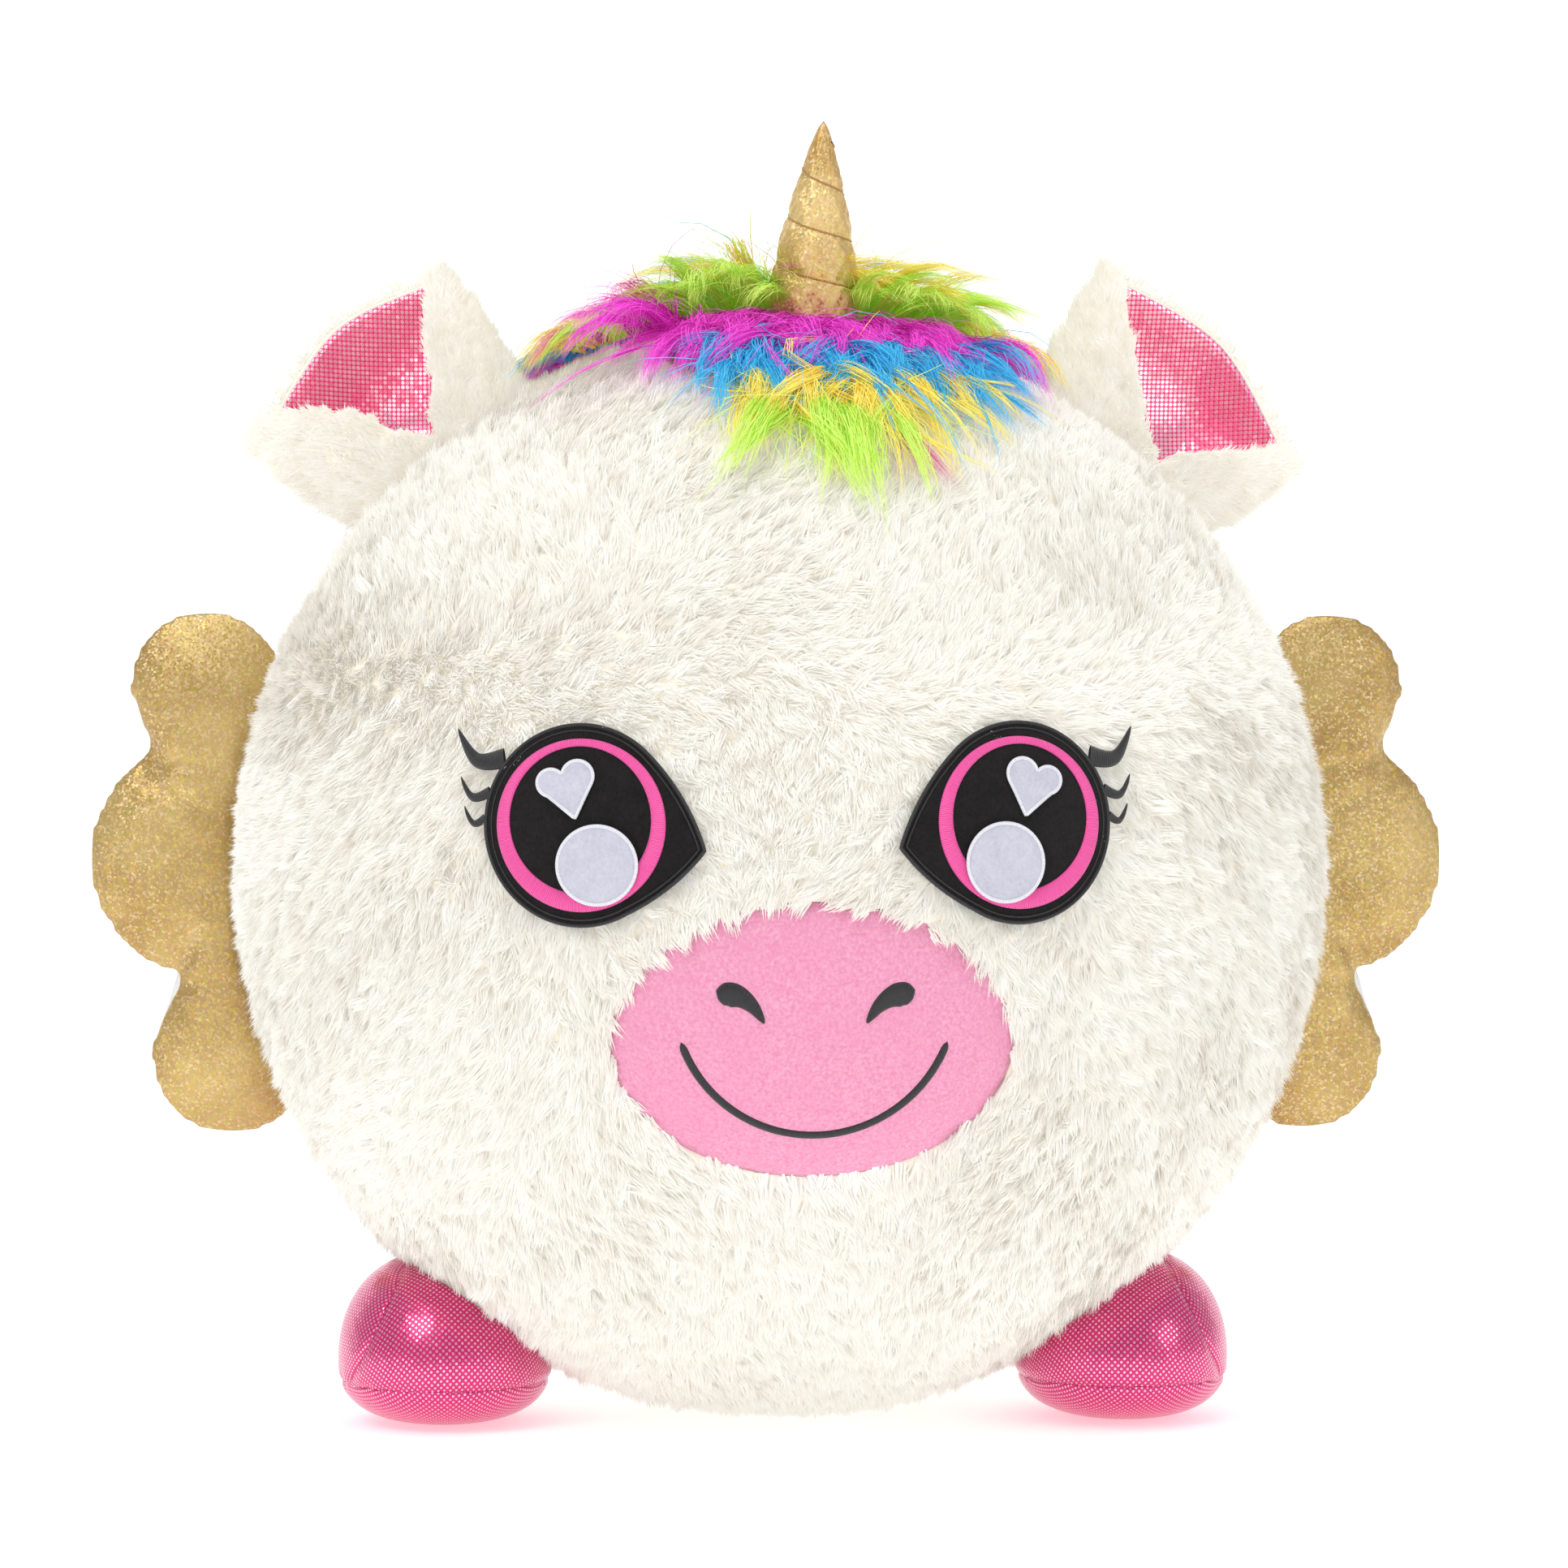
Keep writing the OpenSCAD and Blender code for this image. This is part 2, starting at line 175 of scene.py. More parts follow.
class Nodes:
    """Adds nodes to one material and wires them with short calls."""

    def __init__(self, material):
        self.tree = material.node_tree
        self.shader = self.tree.nodes["Principled BSDF"]

    def add(self, kind, *links, **values):
        node = self.tree.nodes.new(kind)
        for key, value in values.items():
            setattr(node, key, value)
        for socket, value in links:
            if isinstance(value, bpy.types.NodeSocket):
                self.tree.links.new(value, node.inputs[socket])
            else:
                node.inputs[socket].default_value = value
        return node

    def place(self, scale, uv=False):
        coord = self.add("ShaderNodeTexCoord")
        source = coord.outputs["UV" if uv else "Object"]
        return self.add("ShaderNodeMapping", ("Vector", source), ("Scale", scale)).outputs[0]

    def noise(self, where, scale, detail=3.0, rough=0.55):
        node = self.add("ShaderNodeTexNoise", ("Vector", where), ("Scale", scale), ("Detail", detail),
                        ("Roughness", rough))
        return node.outputs["Fac"]

    def math(self, operation, a, b=0.0):
        return self.add("ShaderNodeMath", (0, a), (1, b), operation=operation).outputs[0]

    def ramp(self, value, low, high, to_low=0.0, to_high=1.0):
        node = self.add("ShaderNodeMapRange", ("Value", value), ("From Min", low), ("From Max", high),
                        ("To Min", to_low), ("To Max", to_high))
        return node.outputs[0]

    def blend(self, amount, a, b):
        node = self.add("ShaderNodeMix", data_type="RGBA")
        for index, value in ((0, amount), (6, a), (7, b)):
            if isinstance(value, bpy.types.NodeSocket):
                self.tree.links.new(value, node.inputs[index])
            else:
                node.inputs[index].default_value = value
        return node.outputs[2]

    def bump(self, height, depth, strength=1.0, below=None):
        links = [("Height", height), ("Distance", depth), ("Strength", strength)]
        if below is not None:
            links.append(("Normal", below))
        return self.add("ShaderNodeBump", *links).outputs[0]

    def vector(self, operation, *values, scale=None, out=0):
        node = self.add("ShaderNodeVectorMath", *enumerate(values), operation=operation)
        if scale is not None:
            node.inputs["Scale"].default_value = scale
        return node.outputs[out]

    def tipped_normal(self, random, amount):
        """The surface normal, tipped by a random colour: one small mirror for each cell."""
        tilt = self.vector("SUBTRACT", random, (0.5, 0.5, 0.5))
        tilt = self.vector("SCALE", tilt, scale=amount)
        normal = self.add("ShaderNodeNewGeometry").outputs["Normal"]
        return self.vector("NORMALIZE", self.vector("ADD", normal, tilt))

    def wire(self, value, socket):
        self.tree.links.new(value, self.shader.inputs[socket])


studio_white = finish("studio_white", "FFFFFF", 0.9, Specular_IOR_Level=0.1, Emission_Strength=0.44,
                      Emission_Color=(1, 1, 1, 1))
floor = mesh_piece("floor", sweep_floor(), studio_white)
floor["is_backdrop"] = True
print("floor sweep", [round(v, 2) for v in floor.dimensions], "m")

# %% [markdown]
# ## The shades of the fur
# Faux fur isn't one white. The roots sit in shade and look ivory, the tips catch the light and
# look almost white, and each tuft differs a little. A blade of fur here is too thin for a
# pattern, so each blade takes one of a few plain shades. Real fibres also let light through from
# tuft to tuft. Flat strips can't do that, so each shade is also made to glow a little in its own
# colour, a painted light that makes up for it.

# %% Fur shades
# Strength of the painted glow, in its own colour, that every pile shade gives off.
PILE_GLOW = 0.076                          # light that the pile passes on from tuft to tuft


# A pile shade that also glows faintly in its own colour: painted light.
def pile_finish(name, code, glow_strength=PILE_GLOW):
    glow = {"Emission_Color": linear(code), "Emission_Strength": glow_strength}
    return finish(name, code, 0.8, Specular_IOR_Level=0.2, **glow)


fur_codes = ("F2ECE1", "F5F1E7", "F8F5EE", "FBF9F3", "FDFCF9")
fur_shades = [pile_finish(f"cream_fur_{i + 1}", code) for i, code in enumerate(fur_codes)]
print(len(fur_shades), "shades of cream")


# %% [markdown]
# ## Knitted backing
# Under the pile lies a cream knit. It is hardly seen, but it closes the gaps between tufts, so it
# has the same warm shade and a fine rib. It glows more than the pile does, a painted light
# that keeps the gaps between tufts from going dark.

# %% Knit and filling
# The backing glows more than the pile: painted light in the gaps between tufts.
fur_backing = pile_finish("fur_backing", "F4EFE5", 0.15)
knit = Nodes(fur_backing)
where = knit.place((1, 1, 1))
loops = knit.noise(where, 420.0, 2.0)
knit.wire(knit.blend(loops, linear("EDE4D0"), linear("F8F3E8")), "Base Color")
knit.wire(knit.bump(loops, 0.0006), "Normal")

polyester = finish("polyester", "F4F4F2", 0.9, Sheen_Weight=0.3)
fluff = Nodes(polyester)
where = fluff.place((1, 1, 1))
wisps = fluff.noise(where, 90.0, 6.0, 0.7)
fluff.wire(fluff.blend(wisps, linear("E2E2E0"), linear("FAFAF8")), "Base Color")
fluff.wire(fluff.bump(wisps, 0.002), "Normal")

# %% [markdown]
# ## The ball's cover
# The cover is sewn from four panels: a large front, two backs and a round base. All are parts of
# one sphere, so an icosphere is cut by planes along the seams, and each part gets the thickness
# of the knit on its inner side. The pile is grown on it in the next step.

# %% Cover panels
BALL = Vector((0, 0, 0.297))
BALL_R = 0.300
SKIN = 0.2925
SEAM_Y = 0.080
BASE_Z = BALL.z - math.sqrt(SKIN ** 2 - 0.110 ** 2)
MUZZLE = (0.101, 0.069, 0.217)           # half width, half height, height of its middle


def thicken(bm, depth):
    """Closes an open sheet into a thin solid: the copy moves by depth along the normals."""
    bm.normal_update()
    normal = {v: v.normal.copy() for v in bm.verts}
    faces = bm.faces[:]
    out = bmesh.ops.extrude_face_region(bm, geom=faces, use_keep_orig=True)
    moved = [g for g in out["geom"] if isinstance(g, bmesh.types.BMVert)]
    tree = {tuple(round(c, 7) for c in v.co): n for v, n in normal.items()}
    for v in moved:
        v.co += tree[tuple(round(c, 7) for c in v.co)] * depth
    bmesh.ops.recalc_face_normals(bm, faces=bm.faces[:])
    return bm


def sphere_part(cuts):
    """Part of the ball's cover: each cut keeps the side that its normal points away from."""
    bm = bmesh.new()
    bmesh.ops.create_icosphere(bm, subdivisions=6, radius=SKIN)
    bmesh.ops.translate(bm, verts=bm.verts[:], vec=BALL)
    for point, normal in cuts:
        geom = bm.verts[:] + bm.edges[:] + bm.faces[:]
        bmesh.ops.bisect_plane(bm, geom=geom, dist=1e-6, plane_co=point, plane_no=normal, clear_outer=True)
    return bm


def cut_muzzle_hole(bm):
    wide, high, mid = MUZZLE
    inside = []
    for f in bm.faces:
        x, y, z = f.calc_center_median()
        if y < 0 and (x / wide) ** 2 + ((z - mid) / high) ** 2 < 1:
            inside.append(f)
    bmesh.ops.delete(bm, geom=inside, context="FACES")
    for v in bm.verts:
        if v.is_boundary and v.co.y < -0.1 and abs(v.co.z - mid) < 0.09:
            reach = math.hypot(v.co.x / wide, (v.co.z - mid) / high)
            x, z = v.co.x / reach, mid + (v.co.z - mid) / reach
            v.co = (x, -math.sqrt(SKIN ** 2 - x * x - (z - BALL.z) ** 2), z)


cover = {}
cover_cuts = {
    "front": [((0, SEAM_Y - 0.0003, 0), (0, 1, 0)), ((0, 0, BASE_Z + 0.0003), (0, 0, -1))],
    "back_left": [((0, SEAM_Y + 0.0003, 0), (0, -1, 0)), ((0, 0, BASE_Z + 0.0003), (0, 0, -1)),
                  ((-0.0003, 0, 0), (1, 0, 0))],
    "back_right": [((0, SEAM_Y + 0.0003, 0), (0, -1, 0)), ((0, 0, BASE_Z + 0.0003), (0, 0, -1)),
                   ((0.0003, 0, 0), (-1, 0, 0))],
    "base": [((0, 0, BASE_Z - 0.0003), (0, 0, 1))],
}
for part, cuts in cover_cuts.items():
    bm = sphere_part(cuts)
    if part == "front":
        cut_muzzle_hole(bm)
    thicken(bm, -0.0014)
    panel = mesh_piece(f"{part}_cover_panel", bm, fur_backing)
    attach(panel, "torso")
    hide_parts(f"{part}_fur_panel")
    cover[part] = panel
    print(panel.name, len(panel.data.polygons), "faces")
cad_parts["body_stuffing"].data.materials.clear()
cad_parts["body_stuffing"].data.materials.append(polyester)

# %% [markdown]
# ## Growing pile
# Blender's hair can't be carried by a toy that other programs will open, so the pile is real
# mesh: each blade is a narrow strip that ends in a point. No mesh operator
# grows fur, so this is the one shape made from arrays. `blade_piece` takes the line that each
# blade follows from root to tip, and lays a strip along it with its flat side outwards.

# %% Blades
def unit(a):
    return a / np.maximum(np.linalg.norm(a, axis=-1, keepdims=True), 1e-12)


def flat_to(direction, normals):
    """The part of a direction that lies in the fabric."""
    return unit(direction - normals * (direction * normals).sum(-1, keepdims=True))


def turn_about(vectors, axes, angles):
    c, s = np.cos(angles)[:, None], np.sin(angles)[:, None]
    return vectors * c + np.cross(axes, vectors) * s


def blade_piece(name, spine, half_width, twist, outward, face_shade, materials, body):
    count, levels, _ = spine.shape
    along = np.gradient(spine, axis=1)
    side = unit(np.cross(along, outward[:, None, :]))
    across = unit(np.cross(side, along))
    side = side * np.cos(twist)[:, None, None] + across * np.sin(twist)[:, None, None]
    side = side * half_width[:, :, None]
    per = 2 * (levels - 1) + 1
    co = np.empty((count, per, 3))
    co[:, 0:-1:2] = spine[:, :-1] - side[:, :-1]
    co[:, 1:-1:2] = spine[:, :-1] + side[:, :-1]
    co[:, -1] = spine[:, -1]
    co[:, :, 2] = np.maximum(co[:, :, 2], 0.0008)
    corners = [(2 * k, 2 * k + 1, 2 * k + 3, 2 * k + 2) for k in range(levels - 2)]
    corners.append((2 * levels - 4, 2 * levels - 3, 2 * levels - 2))
    loop = np.concatenate([np.array(c) for c in corners])
    sizes = np.array([len(c) for c in corners])
    loops = (loop[None, :] + per * np.arange(count)[:, None]).ravel()
    starts = np.concatenate([[0], np.cumsum(np.tile(sizes, count))[:-1]])
    mesh = bpy.data.meshes.new(name)
    mesh.vertices.add(count * per)
    mesh.vertices.foreach_set("co", co.astype(np.float32).ravel())
    mesh.loops.add(len(loops))
    mesh.loops.foreach_set("vertex_index", loops.astype(np.int32))
    mesh.polygons.add(count * (levels - 1))
    mesh.polygons.foreach_set("loop_start", starts.astype(np.int32))
    for material in materials:
        mesh.materials.append(material)
    mesh.polygons.foreach_set("material_index", face_shade.astype(np.int32).ravel())
    mesh.update(calc_edges=True)
    mesh.shade_smooth()
    piece = bpy.data.objects.new(name, mesh)
    scene.collection.objects.link(piece)
    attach(piece, body)
    print(name, count, "blades,", count * (2 * levels - 3), "triangles")
    return piece


# %% [markdown]
# ## Outlines on the ball
# The pile leaves room for the muzzle, the eyes and the mane. Each is a shape drawn on the flat
# front view and pressed back onto the ball, so one test in X and Z says what is covered.
# Outlines are given as a reach for each angle round their middle, which suits a teardrop eye and
# a heart alike.

# %% Outlines
def reach_of(points):
    """A smooth outline through corner points about (0, 0): its reach in any direction."""
    angle = np.array([math.atan2(z, x) for x, z in points])
    reach = np.array([math.hypot(x, z) for x, z in points])
    order = np.argsort(angle)
    angle, reach = angle[order], reach[order]
    angle = np.concatenate([angle - 2 * math.pi, angle, angle + 2 * math.pi])
    reach = np.tile(reach, 3)
    return lambda a: np.interp(a, angle, reach)


def oval_reach(wide, high, x=0.0, z=0.0):
    """The reach of an oval whose middle is at x, z."""
    turn = np.linspace(-math.pi, math.pi, 241)[:-1]
    return reach_of([(x + wide * math.cos(t), z + high * math.sin(t)) for t in turn])


def teardrop_reach():
    """The eye felt: an oval with a pointed corner towards the nose, drawn for the right eye."""
    corner = Vector((-0.061, -0.0125))
    points = []
    for t in np.linspace(-math.pi, math.pi, 361)[:-1]:
        points.append(Vector((0.0472 * math.cos(t), 0.0502 * math.sin(t))))
    upper, lower = Vector((-0.031, 0.0379)), Vector((-0.0225, -0.0441))
    outline = [p for p in points if not (p.x < -0.0225 and -0.0441 < p.y < 0.0379)]
    for k in range(25):
        f = k / 24
        bow = 4 * f * (1 - f)
        outline.append(upper.lerp(corner, f) + Vector((-0.0030, 0.0022)) * bow)
        outline.append(corner.lerp(lower, f) + Vector((-0.0022, -0.0020)) * bow)
    return reach_of([(p.x, p.y) for p in outline])


EYES = {"right": Vector((0.1012, 0.3246)), "left": Vector((-0.1146, 0.3232))}
eye_reach = teardrop_reach()


def inside_eye(x, z, side, margin):
    sign = 1 if side == "right" else -1
    dx, dz = (x - EYES[side].x) * sign, z - EYES[side].y
    return np.hypot(dx, dz) < eye_reach(np.arctan2(dz, dx)) - margin


def inside_muzzle(x, z, margin):
    wide, high, mid = MUZZLE
    return (x / (wide - margin)) ** 2 + ((z - mid) / (high - margin)) ** 2 < 1


print("eye reach up and inwards", eye_reach(np.array([math.pi / 2, math.pi])).round(4))

# %% [markdown]
# ## The pile of the ball
# The pile falls in small tufts about 6 mm apart, three dozen blades to a tuft, whose tips lean
# together. A spiral of evenly spaced points covers the sphere with tufts, and low waves turn
# the comb direction a little from place to place, so the fur swirls as stroked fur does. It
# falls on the lower half and turns round to rise towards the crown on the upper half.
# The pile is split into pieces along the same seams as the cover, and the front once more.

# %% Pile of the ball
rng = np.random.default_rng(7)
TUFTS = 30000
BLADES, BACK_BLADES = 36, 24


def evenly_on_sphere(count):
    k = np.arange(count) + 0.5
    z = 1 - 2 * k / count
    around = k * math.pi * (3 - math.sqrt(5))
    s = np.sqrt(1 - z * z)
    return np.stack([s * np.cos(around), s * np.sin(around), z], 1)


def swirl(p):
    """A slow, smooth turn of the comb direction over the ball, in radians."""
    x, y, z = p[:, 0], p[:, 1], p[:, 2]
    return (0.42 * np.sin(21 * x + 9 * z + 1.3) + 0.34 * np.sin(33 * z - 17 * x + 2.1)
            + 0.30 * np.sin(47 * x + 29 * y + 0.4) + 0.2 * np.sin(75 * z + 61 * y))


def mane_cover(p, margin):
    """True under the mane, seen from above."""
    x, y = p[:, 0] / MM, p[:, 1] / MM
    crown = ((x - 4) / (124 - margin)) ** 2 + ((y - 20) / (98 - margin)) ** 2 < 1
    fore = ((x - 18) / (88 - margin)) ** 2 + ((y + 122) / (92 - margin)) ** 2 < 1
    back = (x / (80 - margin)) ** 2 + ((y - 120) / (100 - margin)) ** 2 < 1
    return (crown | fore | back) & (p[:, 2] > BALL.z)


tuft_n = evenly_on_sphere(TUFTS)
tuft_n = unit(tuft_n + rng.normal(0, 0.0045, tuft_n.shape))
tuft_p = np.array(BALL) + tuft_n * SKIN
front_side = tuft_p[:, 1] < 0
bare = front_side & inside_muzzle(tuft_p[:, 0], tuft_p[:, 2], 0.0005)
for side in EYES:
    bare |= front_side & inside_eye(tuft_p[:, 0], tuft_p[:, 2], side, 0.009)
bare |= mane_cover(tuft_p, 26)
tuft_n, tuft_p = tuft_n[~bare], tuft_p[~bare]
print(len(tuft_n), "tufts,", int(bare.sum()), "left out under trims")


def fur_blades(points, normals, combs, per_tuft, spread, length, lean, width=0.0006):
    """Tufts of blades: their lines, widths, twists, outward directions and shades."""
    n = len(points)
    long = length * rng.uniform(0.78, 1.18, n)
    tuft_lean = lean + rng.normal(0, 0.14, n)
    tip = points + normals * (long * np.cos(tuft_lean))[:, None]
    tip = tip + combs * (long * np.sin(tuft_lean))[:, None]
    p, nn, cc = (np.repeat(a, per_tuft, 0) for a in (points, normals, combs))
    side = np.cross(nn, cc)
    radius = spread * np.sqrt(rng.uniform(0, 1, n * per_tuft))
    around = rng.uniform(0, 2 * math.pi, n * per_tuft)
    offset = cc * (radius * np.cos(around))[:, None] + side * (radius * np.sin(around))[:, None]
    roots = p + offset
    tips = np.repeat(tip, per_tuft, 0) + offset * rng.uniform(0.3, 0.8, (n * per_tuft, 1))
    tips += rng.normal(0, 0.0010, tips.shape) - cc * rng.uniform(0, 0.40, (n * per_tuft, 1)) * length
    spine = np.stack([roots, tips], 1)
    half = np.stack([width * rng.uniform(0.7, 1.3, len(p)), np.zeros(len(p))], 1)
    twist = rng.normal(0, 0.22, len(p))
    tone = np.repeat(rng.normal(0, 0.35, n), per_tuft) + rng.normal(0, 0.7, len(p)) + 2.7
    shade = np.clip(np.round(tone), 0, 4)
    return spine, half, twist, nn, shade[:, None]


down = np.tile(np.array([0.0, 0.0, -1.0]), (len(tuft_n), 1))
rising = np.clip((tuft_n[:, 2] - 0.12) / 0.42, 0, 1)
whorl = 2.7 * rising * rising * (3 - 2 * rising)
turn = whorl + swirl(tuft_p) + rng.normal(0, 0.42, len(tuft_n))
tuft_comb = turn_about(flat_to(down, tuft_n), tuft_n, turn)
regions = {}
in_base = tuft_p[:, 2] < BASE_Z
in_front = (tuft_p[:, 1] < SEAM_Y) & ~in_base
regions["base_pile"] = in_base
regions["back_left_pile"] = ~in_base & ~in_front & (tuft_p[:, 0] < 0)
regions["back_right_pile"] = ~in_base & ~in_front & (tuft_p[:, 0] >= 0)
for k, (low, high) in enumerate(((-1, -0.143), (-0.143, 0), (0, 0.143), (0.143, 1))):
    regions[f"front_pile_{k + 1}"] = in_front & (tuft_p[:, 0] >= low) & (tuft_p[:, 0] < high)
for name, chosen in regions.items():
    per_tuft, width = (BLADES, 0.0006) if "front" in name else (BACK_BLADES, 0.0008)
    made = fur_blades(tuft_p[chosen], tuft_n[chosen], tuft_comb[chosen], per_tuft,
                      spread=0.0046, length=0.0130, lean=1.14, width=width)
    pile = blade_piece(name, *made, fur_shades, "torso")

# %% [markdown]
# ## Pressing cut-outs onto the front
# The muzzle, the eye felts and their glints are flat cut-outs that follow the ball. `pressed` takes
# a square grid, rounds it to a disc, stretches the disc to the outline, and lays it on the ball
# at the height asked for. The grid keeps its faces even right up to a pointed corner, which a
# fan of triangles wouldn't.

# %% Pressed cut-outs
def on_front(x, z, r):
    return Vector((x, -math.sqrt(max(r * r - x * x - (z - BALL.z) ** 2, 0)), z))


def disc_grid(bm, cells):
    """A square grid rounded to a unit disc; returns each vertex with its distance and angle."""
    made = bmesh.ops.create_grid(bm, x_segments=cells, y_segments=cells, size=1)["verts"]
    span = max(v.co.x for v in made)
    spots = []
    for v in made:
        u, w = v.co.x / span, v.co.y / span
        x, y = u * math.sqrt(1 - w * w / 2), w * math.sqrt(1 - u * u / 2)
        spots.append((v, min(math.hypot(x, y), 1.0), math.atan2(y, x)))
    return spots


def face_outwards(bm, away):
    """Turns an open sheet so that its first face points the way of `away`."""
    bm.normal_update()
    total = sum((f.normal * f.calc_area() for f in bm.faces), Vector())
    if total.dot(Vector(away)) < 0:
        bmesh.ops.reverse_faces(bm, faces=bm.faces[:])
    bm.normal_update()


def pressed(name, middle, reach, height, depth, material, mirrored=False, cells=44):
    bm = bmesh.new()
    sign = -1 if mirrored else 1
    for v, out, angle in disc_grid(bm, cells):
        d = out * float(reach(angle))
        x, z = middle[0] + sign * d * math.cos(angle), middle[1] + d * math.sin(angle)
        v.co = on_front(x, z, height(out, x, z))
    face_outwards(bm, (0, -1, 0))
    thicken(bm, -depth)
    return mesh_piece(name, bm, material)


# %% [markdown]
# ## Velour muzzle
# The muzzle is a short-napped pink velour, sewn into a hole in the fur and stuffed from behind, so
# it swells a little and tucks in at its seam, with small puckers along the top where the fur
# pulls on it. The nap is a fine grain in both colour and bump.

# %% Muzzle
velour = finish("pink_velour", "F8A9C9", 0.85, Sheen_Weight=0.35, Sheen_Roughness=0.4)
nap = Nodes(velour)
where = nap.place((1, 1, 1))
grain = nap.noise(where, 620.0, 3.0)
broad = nap.noise(where, 40.0, 3.0)
tone = nap.blend(nap.ramp(grain, 0.3, 0.7), linear("E286AC"), linear("F0ACC8"))
# Broad random patches are painted darker, the shading of brushed nap: painted shade.
nap.wire(nap.blend(nap.ramp(broad, 0.4, 0.7, 0.0, 0.4), tone, linear("E993B7")), "Base Color")
nap.wire(nap.bump(grain, 0.0007, 0.9), "Normal")


def muzzle_height(out, x, z):
    wide, high, mid = MUZZLE
    angle = math.atan2((z - mid) / high, x / wide)
    pucker = 0.5 + 0.5 * math.sin(23 * angle + 1.7 * math.sin(5 * angle))
    pucker *= 0.3 + 0.7 * max(math.sin(angle), 0)
    return SKIN - 0.0012 + 0.0082 * (1 - out ** 6) ** 0.8 - 0.0016 * pucker * out ** 5 * (1 - out ** 14)


def muzzle_surface(x, z):
    wide, high, mid = MUZZLE
    out = min(math.hypot(x / wide, (z - mid) / high), 1.0)
    return on_front(x, z, muzzle_height(out, x, z))


muzzle = pressed("muzzle_panel_velour", (0, MUZZLE[2]), oval_reach(*MUZZLE[:2]), muzzle_height, 0.0016,
                 velour, cells=72)
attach(muzzle, "torso")
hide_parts("muzzle_panel")
print("muzzle stands", round(-muzzle_surface(0, MUZZLE[2]).y, 4), "m forward")

# %% [markdown]
# ## Satin stitching
# The smile, the nostrils, the iris rings and the borders are satin stitch: threads laid side by
# side across a line until they form a raised band. Each band is a tube with a flattened section,
# bent along its path. Its UV map runs in millimetres along and round it, so that one finish
# can draw the threads across any band.

# %% Satin stitching
def stitch_finish(name, code, pale, pitch=0.8, rough=0.42):
    material = finish(name, code, rough, Sheen_Weight=0.2)
    thread = Nodes(material)
    where = thread.place((1, 1, 1), uv=True)
    wobble = thread.noise(where, 0.6, 2.0)
    along = thread.add("ShaderNodeSeparateXYZ", (0, where)).outputs[0]
    turns = thread.math("MULTIPLY", along, 2 * math.pi / pitch)
    phase = thread.math("ADD", turns, thread.math("MULTIPLY", wobble, 5.0))
    wave = thread.math("SINE", phase)
    # Each thread is painted pale along its crest and dark in the groove beside it: painted highlight and
    # painted shade, laid over the real bump of the same ridges.
    ridge = thread.ramp(wave, -1.0, 1.0)
    thread.wire(thread.blend(ridge, linear(code), linear(pale)), "Base Color")
    thread.wire(thread.bump(ridge, 0.00025, 0.8), "Normal")
    return material


def satin_band(bm, path, outward, half_width, height, around=10):
    """A raised band of stitches along a path, with its flat side on the fabric."""
    uv = bm.loops.layers.uv.verify()
    path, outward = np.array(path, float), unit(np.array(outward, float))
    half_width = np.broadcast_to(half_width, len(path))
    steps = np.linalg.norm(np.diff(path, axis=0), axis=1)
    distance = np.concatenate([[0], np.cumsum(steps)])
    along = unit(np.gradient(path, axis=0))
    if np.allclose(path[0], path[-1]):
        along[0] = along[-1] = unit(along[0] + along[-1])
    side = unit(np.cross(along, outward))
    made = bmesh.ops.create_grid(bm, x_segments=len(path) - 1, y_segments=around, size=1)["verts"]
    flat = np.array([v.co[:2] for v in made])
    s = (flat[:, 0] / flat[:, 0].max() + 1) / 2
    t = (flat[:, 1] / flat[:, 1].max() + 1) / 2
    index = s * (len(path) - 1)
    pick = lambda a: np.stack([np.interp(index, np.arange(len(path)), a[:, k]) for k in range(3)], 1)
    half = np.interp(index, np.arange(len(path)), half_width)[:, None]
    turn = (2 * math.pi * t)[:, None]
    tall = np.minimum(height, half * 1.2)
    co = pick(path) + pick(side) * half * np.cos(turn) + pick(outward) * tall * np.sin(turn)
    length = distance[-1] / MM
    place = {}
    for v, p, a, b in zip(made, co, s, t):
        v.co = p
        place[v] = (a * length, b * 4)
    faces = {f for v in made for f in v.link_faces}
    for f in faces:
        for corner in f.loops:
            corner[uv].uv = place[corner.vert]
    bmesh.ops.remove_doubles(bm, verts=made, dist=2e-5)
    return bm


def band_piece(name, bm, *materials):
    bmesh.ops.dissolve_degenerate(bm, dist=1e-6, edges=bm.edges[:])
    bmesh.ops.recalc_face_normals(bm, faces=bm.faces[:])
    return mesh_piece(name, bm, *materials)


black_thread = stitch_finish("black_embroidery", "08070A", "1C1A1F")


def away_from_ball(path):
    return [Vector(p) - BALL for p in path]


def spline_point(a, b, c, d, f):
    """A point on the smooth curve from b to c; f runs from 0 at b to 1 at c."""
    bend = 2 * a - 5 * b + 4 * c - d
    twist = 3 * b - a - 3 * c + d
    return 0.5 * (2 * b + (c - a) * f + bend * f ** 2 + twist * f ** 3)


def curve_through(points, count):
    """Points along a smooth line through a few given ones."""
    points = np.array([tuple(p) for p in points], float)
    x = np.linspace(0, len(points) - 1, count)
    i = np.clip(x.astype(int), 0, len(points) - 2)
    f = (x - i)[:, None]
    get = lambda j: points[np.clip(j, 0, len(points) - 1)]
    a, b, c, d = get(i - 1), get(i), get(i + 1), get(i + 2)
    return spline_point(a, b, c, d, f)


# %% [markdown]
# ## Smile and nostrils
# The smile is one even band on part of a circle. A nostril starts as a round blob and thins to a
# hooked tail, so its band changes width along its path.

